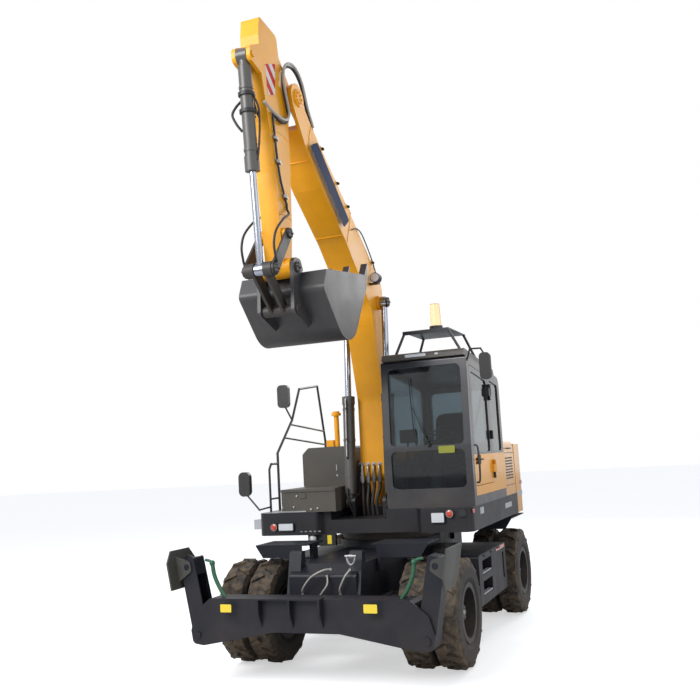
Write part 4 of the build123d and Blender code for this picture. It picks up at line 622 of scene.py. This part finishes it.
class EXCAVATOR_OT_pipes(bpy.types.Operator):
    """Steel pipes and their clips along the boom, stick and cylinders"""
    bl_idname = "excavator.pipes"
    bl_label = "Pipes"

    def execute(self, context):
        size = context.scene.excavator_hoses
        thin, sides = size.pipe_radius, size.sides
        back = ((0.552, 2.35), (0.549, 2.75), (0.525, 3.40), (0.499, 3.98), (0.484, 4.09), (0.452, 4.155),
                (0.393, 4.208), (0.00, 4.489), (-0.449, 4.806), (-1.00, 5.193), (-1.36, 5.448))
        runs = [side_tube(ARM_X + offset, back, thin, sides) for offset in (0.115, -0.115, 0.143, -0.143)]
        clips = []
        for y, z, run in ((0.549, 2.75, (-0.02, 1)), (0.512, 3.70, (-0.04, 1)), (0.18, 4.360, (-0.81, 0.58)),
                          (-0.529, 4.863, (-0.82, 0.57)), (-0.80, 5.053, (-0.82, 0.57)),
                          (-1.18, 5.320, (-0.82, 0.57))):
            axis = np.array((0.0, *run))
            for x in (ARM_X + 0.129, ARM_X - 0.129):
                clips += clip((x, y, z), axis, unit(np.cross(axis, X)), thin * 1.8)
        foot, ends = [], []
        for x in FOOT_HOSES:
            foot.append(side_tube(x, ((FOOT_Y, 1.79), (FOOT_Y, 1.90), (0.268, 1.955), (0.300, 1.985)),
                                  thin * 1.3, sides))
            ends.append(turned([(-0.03, 0.020), (0.0, 0.024), (0.05, 0.024), (0.055, 0.017), (0.10, 0.017)],
                               (x, FOOT_Y, 1.80), Z, 6))
            ends.append(bar((x, 0.292, 1.985), Y, 0.006, 0.026, 6))
        mesh_piece("boom_pipes", runs, "rail black", "boom")
        mesh_piece("boom_foot_pipes", foot, "bright steel", "boom")
        mesh_piece("boom_pipe_clips", clips, "black plastic", "boom")
        mesh_piece("boom_pipe_fittings", ends, "bright steel", "boom")
        for side, name in ((1, "left"), (-1, "right")):
            x = ARM_X + side * LIFT_SIDE
            line = [beside(LIFT, along, out, x) for along, out in (
                (1.175, 0.062), (1.180, 0.085), (1.14, 0.094), (0.60, 0.094), (0.52, 0.090), (0.50, 0.066))]
            bands = [collar(LIFT, along, 0.014, 0.066, 0.072, x) for along in (0.30, 0.72, 1.08)]
            bands += [bar(beside(LIFT, along, 0.094, x), course(LIFT), 0.012, 0.019) for along in (0.72, 1.08)]
            mesh_piece(f"lift_{name}_pipe", tube(line, thin, sides), "bright steel", "boom_barrels")
            mesh_piece(f"lift_{name}_bands", bands, "barrel grey", "boom_barrels")
        side_run, side_clips = [], []
        for side in (1, -1):
            x = ARM_X + side * (STICK_HALF + thin + 0.003)
            side_run.append(side_tube(x, ((-2.20, 5.36), (-2.185, 5.20), (-2.150, 4.95), (-2.10, 4.74),
                                          (-2.035, 4.60), (-1.985, 4.50)), thin, sides))
            for y, z in ((-2.172, 5.10), (-2.135, 4.88), (-2.022, 4.57)):
                side_clips += clip((x, y, z), (0, 0.25, 0.97), X * side, thin * 1.7)
                side_clips.append(bolt((x - side * thin, y + 0.055, z), X * side, 0.012, 0.018))
        mesh_piece("stick_pipes", side_run, "rail black", "stick")
        mesh_piece("stick_pipe_clips", side_clips, "bright steel", "stick")
        collars = [collar(CURL, along, half, 0.060, outer)
                   for along, half, outer in ((0.30, 0.012, 0.068), (0.88, 0.012, 0.068), (1.00, 0.060, 0.070))]
        mesh_piece("bucket_cylinder_collars", collars, "barrel grey", "bucket_barrel")
        clamps = [collar(CURL, along, 0.016, 0.060, 0.079) for along in (0.36, 0.52)]
        middle = beside(CURL, 0.60, -0.064, ARM_X) + Y * 0.064
        clamps.append(tube(middle + np.array([(-0.070, 0, 0.20), (-0.120, -0.02, 0.14), (-0.150, -0.03, 0.07),
                                              (-0.115, -0.02, -0.02), (-0.070, 0, -0.09)]), 0.012, 10))
        clamps.append(tube(middle + np.array([(0.060, -0.02, 0.24), (0.095, 0.02, 0.12), (0.085, 0.05, -0.05),
                                              (0.072, 0.03, -0.30), (0.066, 0.01, -0.38)]), 0.010, 10))
        mesh_piece("bucket_cylinder_clamps", clamps, "black plastic", "bucket_barrel")
        crowd = [collar(CROWD, along, 0.014, 0.066, 0.073) for along in (0.35, 0.75, 1.12)]
        mesh_piece("stick_cylinder_collars", crowd, "barrel grey", "stick_barrel")
        lamp = tube([(0.112, -0.46, 4.60), (0.112, -0.39, 4.627), (0.112, -0.28, 4.650), (0.112, -0.15, 4.615),
                     (0.113, 0.0, 4.50), (0.118, 0.142, 4.35), (0.135, 0.17, 4.24), (0.160, 0.155, 4.17),
                     (0.178, 0.118, 4.140), (0.178, 0.098, 4.132)], 0.007, 10)
        mesh_piece("work_lamp_lead", lamp, "rubber", "boom")
        return {'FINISHED'}


class EXCAVATOR_OT_fasteners(bpy.types.Operator):
    """Pin caps, bolts and wheel nuts"""
    bl_idname = "excavator.fasteners"
    bl_label = "Fasteners"

    def execute(self, context):
        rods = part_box("boom_cylinder_rods")
        rod_half = (rods[1].x - rods[0].x) / 2
        # Each pin is (y, z, distance of its ends from the arm's middle, radius of the cap, bolts)
        for name, finish, body, pins in (
                ("boom_pin_caps", "body yellow", "boom", ((-1.735, 5.655, BOOM_HALF, 0.088, 8),
                                                          (*CROWD[0], 0.080, 0.045, 3))),
                ("lift_pin_caps", "link steel", "boom_rods", ((*LIFT[1], rod_half, 0.058, 4),)),
                ("rocker_pin_caps", "link steel", "rocker", ((-2.050, 4.205, 0.154, 0.052, 4),
                                                             (*CURL[1], 0.154, 0.052, 4))),
                ("bucket_pin_caps", "link steel", "bucket", ((-1.995, 3.885, 0.192, 0.055, 4),
                                                             (-2.024, 3.483, 0.192, 0.052, 4)))):
            caps = []
            for side in (1, -1):
                for y, z, half, radius, bolts in pins:
                    caps += pin_cap(y, z, ARM_X + side * half, side, radius, bolts)
            mesh_piece(name, caps, finish, body)
        nuts = context.scene.excavator_fasteners.wheel_nuts
        turns = np.arange(nuts) * 2 * np.pi / nuts
        ring = np.cos(turns)[:, None] * Y + np.sin(turns)[:, None] * Z
        for end, axle in (("front", FRONT_AXLE), ("rear", REAR_AXLE)):
            for side, name in ((1, "left"), (-1, "right")):
                out = X * side
                hub = axle + out * (HALF_TRACK + 0.230)
                shapes = [bolt(axle + out * (HALF_TRACK + face) + place * across, out, radius, height)
                          for face, across, radius, height, places in (
                              (0.016, 0.169, 0.016, 0.020, ring), (0.060, 0.135, 0.011, 0.012, ring),
                              (0.230, 0.050, 0.009, 0.006, ring[::2]))
                          for place in places]
                shapes.append(turned([(0, 0.028), (0.006, 0.026), (0.008, 0.010)], hub, out, 24))
                mesh_piece(f"{end}_{name}_wheel_nuts", shapes, "bright steel", f"{end}_{name}_wheel")
        return {'FINISHED'}


class EXCAVATOR_OT_lamps(bpy.types.Operator):
    """Lenses, reflectors and mirror faces"""
    bl_idname = "excavator.lamps"
    bl_label = "Lamps and Mirrors"

    def execute(self, context):
        white = [front_plate(low, high, -0.446, 0.008)
                 for low, high in (((-0.969, 1.309), (-0.795, 1.381)), ((0.813, 1.358), (0.947, 1.455)))]
        red, rims = ([turned(rows, (x, -0.450, z), -Y, 32) for x, z in ((-1.030, 1.345), (1.010, 1.445))]
                     for rows in ([(0, 0.034), (0.006, 0.034), (0.010, 0.026), (0.011, 0.008)],
                                  [(0, 0.040), (0.007, 0.040), (0.007, 0.035), (0, 0.035)]))
        mesh_piece("headlamp_lenses", white, "lamp glass", "upper")
        mesh_piece("red_lenses", red, "red lens", "upper")
        mesh_piece("lens_rims", rims, "bright steel", "upper")
        reflectors = [left_plate(corners((-0.38, 1.44), (-0.30, 1.48)), DECK_HIGH.x, 0.004),
                      left_plate(corners((2.30, 1.60), (2.42, 1.65)), TAIL_LEFT, 0.004)]
        mesh_piece("side_reflectors", reflectors, "red lens", "upper")
        lens = turned([(0, 0.052), (0.006, 0.050), (0.010, 0.036), (0.012, 0.012)], (0.178, 0.015, 4.132), -Y,
                      40)
        mesh_piece("work_lamp_lens", lens, "lamp glass", "boom")
        mirrors = [rear_plate((1.412, 2.832), (1.508, 3.093), -0.240, 0.002, 0.035),
                   rear_plate((-1.302, 2.740), (-1.172, 2.998), 0.400, 0.002, 0.055),
                   rear_plate((-1.430, 1.712), (-1.310, 1.963), -0.425, 0.002, 0.050)]
        mesh_piece("mirror_faces", mirrors, "mirror silver", "upper")
        return {'FINISHED'}


class EXCAVATOR_OT_plates(bpy.types.Operator):
    """Blank labels, the boom's blue panel, the warning bands and the weld seams"""
    bl_idname = "excavator.plates"
    bl_label = "Plates and Seams"

    def execute(self, context):
        panel = [(-1.564, 5.216), (-1.381, 5.308), (-0.599, 4.670), (-0.760, 4.553)]
        panels = [left_plate(panel, BOOM_LEFT, radius=0.03), right_plate(panel, ARM_X - BOOM_HALF, radius=0.03)]
        mesh_piece("boom_blue_panels", panels, "panel blue", "boom")
        bands = [(-2.289, 5.795), (-2.072, 5.887), (-2.104, 5.561), (-2.255, 5.502)]
        bands = [left_plate(bands, STICK_LEFT), right_plate(bands, ARM_X - STICK_HALF)]
        mesh_piece("stick_warning_bands", bands, "warning bands", "stick")
        seams = [side_tube(x, rows, 0.005) for x in (ARM_X + BOOM_HALF, ARM_X - BOOM_HALF) for rows in (
            ((0.312, 2.76), (0.42, 2.74), (0.528, 2.76)), ((0.085, 3.80), (0.26, 3.93), (0.468, 3.99)),
            ((-0.60, 4.432), (-0.52, 4.60), (-0.46, 4.775)), ((-1.52, 5.16), (-1.50, 5.33), (-1.44, 5.462)))]
        seams += [tube([(ARM_X + offset, y, z) for offset in (-BOOM_HALF, 0, BOOM_HALF)], 0.007, 6)
                  for y, z in ((-1.485, 5.093), (-0.705, 4.488), (0.098, 3.600))]
        mesh_piece("boom_weld_seams", seams, "body yellow", "boom")
        seams = [side_tube(x, rows, 0.004) for x in (ARM_X + STICK_HALF, ARM_X - STICK_HALF) for rows in (
            ((-2.245, 5.17), (-2.05, 5.20), (-1.834, 5.18)), ((-2.13, 4.38), (-2.0, 4.40), (-1.862, 4.38)))]
        mesh_piece("stick_weld_seams", seams, "body yellow", "stick")
        labels = [front_plate((-0.844, 0.708), (-0.728, 0.780), BEAM_FRONT),
                  front_plate((0.599, 0.721), (0.726, 0.797), BEAM_FRONT)]
        mesh_piece("beam_labels", labels, "label yellow", "chassis")
        mesh_piece("cab_label", front_plate((0.878, 2.070), (1.058, 2.147), CAB_LOW.y, radius=0.012),
                   "label green", "upper")
        strips = [left_plate(corners(low, high), x) for low, high, x in (
            ((-0.05, 1.40), (0.12, 1.47), DECK_HIGH.x), ((1.25, 1.36), (1.64, 1.42), DECK_HIGH.x),
            ((2.12, 1.46), (2.42, 1.52), TAIL_LEFT))]
        mesh_piece("deck_side_plates", strips, "pale plate", "upper")
        return {'FINISHED'}


class EXCAVATOR_OT_cab(bpy.types.Operator):
    """Controls, wiper and small fittings of the cab"""
    bl_idname = "excavator.cab"
    bl_label = "Cab Fittings"

    def execute(self, context):
        centre, rim_radius, lean = np.array((0.751, 0.262, 2.262)), 0.165, 0.45
        up = math.cos(lean) * Y + math.sin(lean) * Z
        turn = np.linspace(0, 2 * np.pi, 49)[:, None]
        shapes = [tube(centre + rim_radius * (np.cos(turn) * X + np.sin(turn) * up), 0.012, 10, straight=True)]
        shapes += [tube([centre, centre + (rim_radius - 0.005) * (math.cos(a) * X + math.sin(a) * up)], 0.009, 8,
                        straight=True) for a in (0.5, 2.6, 4.71)]
        shapes.append(turned([(-0.03, 0.02), (0, 0.035), (0.012, 0.030)], centre, np.cross(X, up), 20))
        for x in (centre[0] - 0.300, centre[0] + 0.300):
            shapes.append(side_tube(x, ((0.37, 2.07), (0.36, 2.14), (0.35, 2.19)), 0.010, 8))
            shapes.append(turned([(0, 0.014), (0.03, 0.022), (0.09, 0.026), (0.11, 0.016), (0.115, 0.004)],
                                 (x, 0.352, 2.18), (0, -0.1, 1), 16))
        shapes += [side_tube(x, ((0.06, 1.645), (0.03, 1.80), (0.08, 1.97)), 0.010, 8) for x in (0.65, 0.85)]
        mesh_piece("cab_controls", shapes, "black plastic", "upper")
        screen = slab(oblong((0.0, 0.0), (0.20, 0.15), 0.015), (0.375, 0.02, 2.20), X, Z, 0.035)
        stand = tube([(0.42, 0.0, 1.70), (0.44, 0.01, 2.0), (0.46, 0.01, 2.23)], 0.014, 10)
        mesh_piece("cab_monitor", [screen, stand], "black plastic", "upper")
        pane, pane_up = np.array((0.0, -0.257, 2.16)), unit((0.0, 0.050, 0.955))
        blade, arm = ([pane + X * x + pane_up * along for x, along in rows]
                      for rows in (((0.62, 0.12), (0.60, 0.45), (0.585, 0.75)),
                                   ((0.78, 0.0), (0.70, 0.20), (0.602, 0.44))))
        wiper = [tube(blade, 0.006, 8, straight=True), tube(arm, 0.005, 8, straight=True), ball(arm[0], 0.018)]
        mesh_piece("windscreen_wiper", wiper, "black plastic", "upper")
        roof_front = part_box("cab_roof")[0].y
        strips = [front_plate(low, high, roof_front, 0.003, 0.006)
                  for low, high in (((0.56, 3.134), (0.80, 3.166)), ((0.90, 3.140), (0.94, 3.160)))]
        mesh_piece("roof_front_strip", strips, "lamp glass", "upper")
        handle = [tube([(1.246, 0.02, 1.98), (1.275, 0.02, 1.98), (1.275, 0.13, 1.98), (1.246, 0.13, 1.98)],
                       0.009, 8), left_plate(corners((0.0, 1.93), (0.15, 2.03)), 1.240, 0.004)]
        mesh_piece("door_handle", handle, "black plastic", "door")
        hinges = [bar((1.254, 0.752, z), Z, 0.05, 0.014) for z in (1.80, 2.25, 2.70)]
        mesh_piece("door_hinge_pins", hinges, "black plastic", "upper")
        belt = np.array([(1.190, 0.700, 2.86), (1.175, 0.560, 2.62), (1.130, 0.440, 2.36),
                         (1.060, 0.420, 2.14), (1.006, 0.470, 1.97)])
        mesh_piece("seat_belt", [tube(belt + Y * shift, 0.011, 8) for shift in (-0.010, 0.004, 0.018)],
                   "red cloth", "upper")
        rail = tube([(1.262, -0.19, 1.74), (1.30, -0.195, 1.78), (1.30, -0.20, 2.10), (1.262, -0.20, 2.14)],
                    0.011, 10)
        mesh_piece("cab_grab_rail", rail, "rail black", "upper")
        return {'FINISHED'}


def evaluated(piece):
    """Fixes what a piece's modifiers make as its mesh."""
    graph = bpy.context.evaluated_depsgraph_get()
    mesh = bpy.data.meshes.new_from_object(piece.evaluated_get(graph))
    piece.modifiers.clear()
    piece.data = mesh


def mesh_points(mesh):
    points = np.empty(3 * len(mesh.vertices))
    mesh.vertices.foreach_get("co", points)
    return points.reshape(-1, 3)


def stuffed(name, centre, half, lean, seams):
    """A padded block: p(u, v) = half · (cos^e u cos^e v, cos^e u sin^e v, sin^e u), swollen by cloth under
    pressure, then drawn in by depth · exp(−(d / width)²) near each sewn line."""
    swell, boxiness, seam_depth, seam_width = 0.010, 0.42, 0.008, 0.009

    def squared(wave):
        return np.sign(wave) * np.abs(wave) ** boxiness
    u = np.linspace(-1.5, 1.5, 25)[:, None]
    v = np.linspace(0, 2 * np.pi, 48, endpoint=False)[None, :]
    block = np.stack([half[0] * squared(np.cos(u)) * squared(np.cos(v)),
                      half[1] * squared(np.cos(u)) * squared(np.sin(v)),
                      half[2] * squared(np.sin(u)) * np.ones_like(v)], axis=-1)
    turn = np.array(((1, 0, 0), (0, math.cos(lean), math.sin(lean)), (0, -math.sin(lean), math.cos(lean))))
    points, faces = capped(block, 25, 48)
    piece = mesh_piece(name, (points @ turn.T + centre, faces), "seat cloth")
    remesh = piece.modifiers.new("remesh", 'REMESH')
    remesh.mode = 'VOXEL'
    remesh.voxel_size = 0.009
    remesh.use_smooth_shade = True
    evaluated(piece)
    before = mesh_points(piece.data)
    cloth = piece.modifiers.new("cloth", 'CLOTH').settings
    cloth.use_pressure = True
    cloth.uniform_pressure_force = 4.0
    cloth.effector_weights.gravity = 0.0
    scene = bpy.context.scene
    for frame_number in range(1, 21):
        scene.frame_set(frame_number)
    evaluated(piece)
    scene.frame_set(1)
    moved = mesh_points(piece.data) - before
    length = np.linalg.norm(moved, axis=1)[:, None]
    after = before + moved * np.minimum(1.0, swell / np.maximum(length, 1e-9))
    piece.data.vertices.foreach_set("co", after.ravel())
    local = (mesh_points(piece.data) - centre) @ turn
    inward = -local / half
    inward /= np.linalg.norm(inward, axis=1)[:, None]
    for axis, place in seams:
        distance = np.abs(local[:, axis]) - place
        local += inward * (seam_depth * np.exp(-(distance / seam_width) ** 2))[:, None]
    piece.data.vertices.foreach_set("co", (local @ turn.T + centre).ravel())
    piece.data.update()
    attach(piece, "upper")
    return piece


class EXCAVATOR_OT_seat(bpy.types.Operator):
    """The driver's padded seat"""
    bl_idname = "excavator.seat"
    bl_label = "Seat"

    def execute(self, context):
        middle = (SEAT_LOW.x + SEAT_HIGH.x) / 2
        cushion = stuffed("seat_cushion", np.array((middle, 0.640, 1.968)), (0.236, 0.196, 0.056), 0.0,
                          ((0, 0.150), (1, 0.085)))
        stuffed("seat_back", np.array((middle, 0.907, 2.290)), (0.228, 0.050, 0.262), 0.20,
                ((0, 0.140), (2, 0.095)))
        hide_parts("seat")
        return {'FINISHED'}


class EXCAVATOR_OT_deck(bpy.types.Operator):
    """Trim of the turning deck, locker, tank and hood"""
    bl_idname = "excavator.deck"
    bl_label = "Deck Trim"

    def execute(self, context):
        lip = front_plate((-0.935, 1.503), (-0.640, 1.518), LOCKER_LOW.y, 0.004, 0.003)
        rivets = [bolt((x, LOCKER_LOW.y, z), -Y, 0.009, 0.005)
                  for x, z in ((-0.75, 1.68), (-0.79, 1.56), (-0.58, 1.53), (-0.50, 1.54), (-0.93, 1.56))]
        mesh_piece("locker_lip", [lip, *rivets], "bright steel", "upper")
        latch = [front_plate((-0.560, 1.93), (-0.546, 2.00), 0.330, 0.010, 0.004),
                 front_plate((-0.566, 1.86), (-0.540, 1.885), 0.330, 0.006, 0.006)]
        mesh_piece("tank_latch", latch, "bright steel", "upper")
        louvres = []
        for z in (1.62, 2.02):
            louvres += side_plates((1.43, z), (2.03, z + 0.006), HOOD_HALF, 0.003, 0.001)
        for z in np.linspace(1.70, 1.95, 8):
            louvres += side_plates((1.50, z), (1.92, z + 0.016), HOOD_HALF, 0.004, 0.004)
        hood_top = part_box("engine_hood")[1].z
        louvres += [top_plate((x, 1.50), (x + 0.020, 1.90), hood_top, 0.003, 0.004)
                    for x in np.linspace(-0.95, -0.45, 11)]
        mesh_piece("hood_louvres", louvres, "black plastic", "upper")
        handles = [tube([(side * out, y, 2.08) for out, y in ((1.232, 1.60), (1.262, 1.61), (1.262, 1.73),
                                                              (1.232, 1.74))], 0.008, 8) for side in (1, -1)]
        mesh_piece("hood_handles", handles, "black plastic", "upper")
        studs = [turned([(0, 0.009), (0.004, 0.007)], (x, y, DECK_TOP), Z, 6)
                 for y in np.linspace(-0.36, 0.30, 20) for x in np.linspace(-1.16, -1.01, 5)]
        plate = top_plate((-1.19, -0.40), (-0.98, 0.33), DECK_TOP, 0.001)
        mesh_piece("deck_tread", [plate, *studs], "pale plate", "upper")
        bright = [front_plate((x, 1.285), (x + 0.030, 1.297), DECK_LOW.y, 0.004, 0.003)
                  for x in np.linspace(-0.72, -0.50, 5)]
        mesh_piece("deck_front_slots", bright, "bright steel", "upper")
        mesh_piece("marker_lamp_case", front_plate((-1.340, 1.318), (-1.2405, 1.426), -0.228, 0.105, 0.006),
                   "pale plate", "upper")
        under = DECK_LOW.z
        bracket = front_plate((-0.66, under - 0.125), (-0.33, under), -0.300, 0.050, 0.010)
        mesh_piece("deck_gear_bracket", bracket, "black plastic", "upper")
        can = turned([(0, 0.036), (0.006, 0.040), (0.095, 0.040), (0.104, 0.034), (0.112, 0.018)],
                     (-0.583, -0.388, under - 0.118), Z, 24)
        mesh_piece("deck_gear_can", can, "pale plate", "upper")
        mesh_piece("deck_gear_label", front_plate((-0.425, under - 0.105), (-0.375, under - 0.010), -0.350),
                   "label yellow", "upper")
        return {'FINISHED'}


class EXCAVATOR_OT_undercarriage(bpy.types.Operator):
    """Shackle, pale hoses, lock levers and trim of the undercarriage"""
    bl_idname = "excavator.undercarriage"
    bl_label = "Undercarriage Trim"

    def execute(self, context):
        turn = np.linspace(0, np.pi, 20)[:, None]
        hoop = (0.319, -1.526, 1.150) + 0.040 * np.cos(turn) * X - 0.075 * np.sin(turn) * Z
        pin = tube([(0.262, -1.526, 1.155), (0.376, -1.526, 1.155)], 0.013, 10, straight=True)
        lug = front_plate((0.296, 1.140), (0.342, 1.172), -1.5095, 0.020)
        mesh_piece("tow_shackle", [tube(hoop, 0.011, 10, straight=True), pin, lug], "bright steel", "chassis")
        routes = [[(-0.205, -1.505, 0.80), (-0.18, -1.56, 0.86), (-0.08, -1.58, 0.97), (0.04, -1.56, 1.03),
                   (0.10, -1.505, 1.035)],
                  [(0.19, -1.505, 0.80), (0.20, -1.55, 0.86), (0.26, -1.56, 0.97), (0.30, -1.515, 1.03)],
                  [(-0.05, -1.505, 0.76), (0.02, -1.57, 0.82), (0.08, -1.57, 0.90), (0.06, -1.505, 0.97)]]
        mesh_piece("chassis_front_hoses", [tube(route, 0.008, 10) for route in routes], "pale hose", "chassis")
        fittings = [turned([(0, 0.014), (0.02, 0.014)], (end[0], CHASSIS_FRONT, end[2]), -Y, 6)
                    for route in routes for end in (route[0], route[-1])]
        mesh_piece("chassis_fittings", fittings, "bright steel", "chassis")
        treads = []
        for low, high in ((0.526, 0.540), (0.746, 0.760)):
            treads += side_plates((0.14, low), (0.70, high), SIDE_BOX_HALF - 0.06, 0.055, 0.003)
        mesh_piece("step_treads", treads, "pale plate", "chassis")
        mesh_piece("side_box_reflectors", side_plates((0.83, 0.905), (1.28, 0.945), SIDE_BOX_HALF),
                   "red lens", "chassis")
        hinges = [bar((side * (SIDE_BOX_HALF + 0.004), y, 0.935), Y, 0.06, 0.010, 10)
                  for side in (1, -1) for y in (0.25, 0.60, 0.95)]
        mesh_piece("side_box_hinges", hinges, "black plastic", "chassis")
        levers = []
        for side in (1, -1):
            mirror = (side, 1, 1)
            levers.append(tube(np.multiply([(0.885, -1.79, 0.80), (0.955, -1.79, 0.90), (1.010, -1.79, 1.02),
                                            (1.030, -1.79, 1.14)], mirror), 0.020, 10))
            levers.append(tube(np.multiply([(1.030, -1.79, 1.13), (1.060, -1.785, 1.155),
                                            (1.110, -1.78, 1.165)], mirror), 0.014, 10))
            levers.append(ball((side * 1.030, -1.79, 1.135), 0.028, 14))
        mesh_piece("stabiliser_lock_levers", levers, "green strip", "chassis")
        ring_low, ring_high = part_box("slew_ring")
        radius = (ring_high.x - ring_low.x) / 2 - 0.03
        heads = [bolt((radius * math.cos(a), 0.55 + radius * math.sin(a), ring_low.z + 0.02), -Z, 0.012, 0.012)
                 for a in np.linspace(0, 2 * np.pi, 36, endpoint=False)]
        mesh_piece("slew_ring_bolts", heads, "bright steel", "chassis")
        return {'FINISHED'}


class EXCAVATOR_OT_stage(bpy.types.Operator):
    """Adds the floor, the soft lights and the camera"""
    bl_idname = "excavator.stage"
    bl_label = "Set the Stage"

    def execute(self, context):
        scene = context.scene
        place = scene.excavator_stage
        self.lay_floor(place)
        camera_data = bpy.data.cameras.new("camera")
        camera_data.lens = place.lens
        camera_data.sensor_width = 36.0
        camera = bpy.data.objects.new("camera", camera_data)
        yaw, pitch, roll = place.camera_turn
        ahead = Vector((-math.sin(yaw) * math.cos(pitch), math.cos(yaw) * math.cos(pitch), math.sin(pitch)))
        right = Vector((math.cos(yaw), math.sin(yaw), 0))
        up = right.cross(ahead)
        side = right * math.cos(roll) + up * math.sin(roll)
        top = up * math.cos(roll) - right * math.sin(roll)
        turn = Matrix((side, top, -ahead)).transposed().to_4x4()
        camera.matrix_world = Matrix.Translation(place.camera_place) @ turn
        context.collection.objects.link(camera)
        scene.camera = camera
        for name, spot, aim, size, power in (
                ("key", (-3.5, -10.0, 8.5), (0, 0, 2.5), 6.0, place.key_power),
                ("fill", (9.0, -3.0, 5.5), (0, 0, 2.0), 7.0, place.key_power * 0.13),
                ("back", (2.0, 10.0, 9.0), (0, 0, 2.5), 7.0, place.key_power * 0.45)):
            lamp_data = bpy.data.lights.new(name, 'AREA')
            lamp_data.size = size
            lamp_data.energy = power
            lamp = bpy.data.objects.new(name, lamp_data)
            turn = (Vector(aim) - Vector(spot)).to_track_quat('-Z', 'Y').to_matrix().to_4x4()
            lamp.matrix_world = Matrix.Translation(spot) @ turn
            context.collection.objects.link(lamp)
        scene.world = self.lit_world(place)
        scene.view_settings.view_transform = 'Standard'
        return {'FINISHED'}

    @staticmethod
    def lay_floor(place):
        """A wide pale floor that only the camera sees lifted towards white."""
        pale = FINISHES["pale floor"] = bpy.data.materials.new("pale floor")
        pale.use_nodes = True
        tree = pale.node_tree
        shader = tree.nodes["Principled BSDF"]
        tuned(shader, Roughness=0.95, Specular_IOR_Level=0.1, Emission_Color=(1.0, 1.0, 1.0, 1.0))
        speck = linked_node(tree, 'ShaderNodeTexNoise', {"Scale": 3.0, "Detail": 4.0}).outputs["Fac"]
        tree.links.new(ranged(tree, speck, 0.0, 1.0, 0.80, 0.83), shader.inputs["Base Color"])
        seen = tree.nodes.new('ShaderNodeLightPath').outputs["Is Camera Ray"]
        tree.links.new(maths(tree, 'MULTIPLY', seen, place.floor_lift), shader.inputs["Emission Strength"])
        half = 60.0
        floor = [(-half, -half, 0), (half, -half, 0), (half, half, 0), (-half, half, 0)]
        mesh_piece("stage_floor", (np.array(floor), [[0, 1, 2, 3]]), "pale floor")

    @staticmethod
    def lit_world(place):
        """A soft bluish light all round, which is white to the camera, in reflections and through glass."""
        world = bpy.data.worlds.new("studio")
        world.use_nodes = True
        tree = world.node_tree
        soft = tree.nodes["Background"]
        tuned(soft, Color=(0.86, 0.91, 1.0, 1), Strength=place.ambient)
        white = linked_node(tree, 'ShaderNodeBackground', {"Color": (1, 1, 1, 1), "Strength": 1.0})
        path = tree.nodes.new('ShaderNodeLightPath').outputs
        rays = maths(tree, 'MAXIMUM', path["Is Camera Ray"], path["Is Glossy Ray"])
        rays = maths(tree, 'MAXIMUM', rays, path["Is Transmission Ray"])
        both = linked_node(tree, 'ShaderNodeMixShader', _0=rays, _1=soft.outputs[0], _2=white.outputs[0])
        tree.links.new(both.outputs[0], tree.nodes["World Output"].inputs["Surface"])
        return world


class EXCAVATOR_PT_dressing(bpy.types.Panel):
    bl_idname = "EXCAVATOR_PT_dressing"
    bl_label = "Excavator"
    bl_space_type = 'VIEW_3D'
    bl_region_type = 'UI'
    bl_category = "Excavator"

    def draw(self, context):
        for operator in OPERATORS:
            self.layout.operator(operator.bl_idname)


SETTINGS = {
    "excavator_finish": FinishSettings, "excavator_hoses": HoseSettings,
    "excavator_fasteners": FastenerSettings, "excavator_stage": StageSettings,
}
OPERATORS = (
    EXCAVATOR_OT_paint, EXCAVATOR_OT_stage, EXCAVATOR_OT_hoses, EXCAVATOR_OT_pipes, EXCAVATOR_OT_fasteners,
    EXCAVATOR_OT_lamps, EXCAVATOR_OT_plates, EXCAVATOR_OT_cab, EXCAVATOR_OT_seat, EXCAVATOR_OT_deck,
    EXCAVATOR_OT_undercarriage,
)
CLASSES = (*SETTINGS.values(), *OPERATORS, EXCAVATOR_PT_dressing)


def register():
    for cls in CLASSES:
        bpy.utils.register_class(cls)
    for name, group in SETTINGS.items():
        setattr(bpy.types.Scene, name, bpy.props.PointerProperty(type=group))


def unregister():
    for name in SETTINGS:
        delattr(bpy.types.Scene, name)
    for cls in reversed(CLASSES):
        bpy.utils.unregister_class(cls)


def main():
    register()
    for operator in OPERATORS:
        group, name = operator.bl_idname.split(".")
        getattr(getattr(bpy.ops, group), name)()


if __name__ == "__main__":
    main()
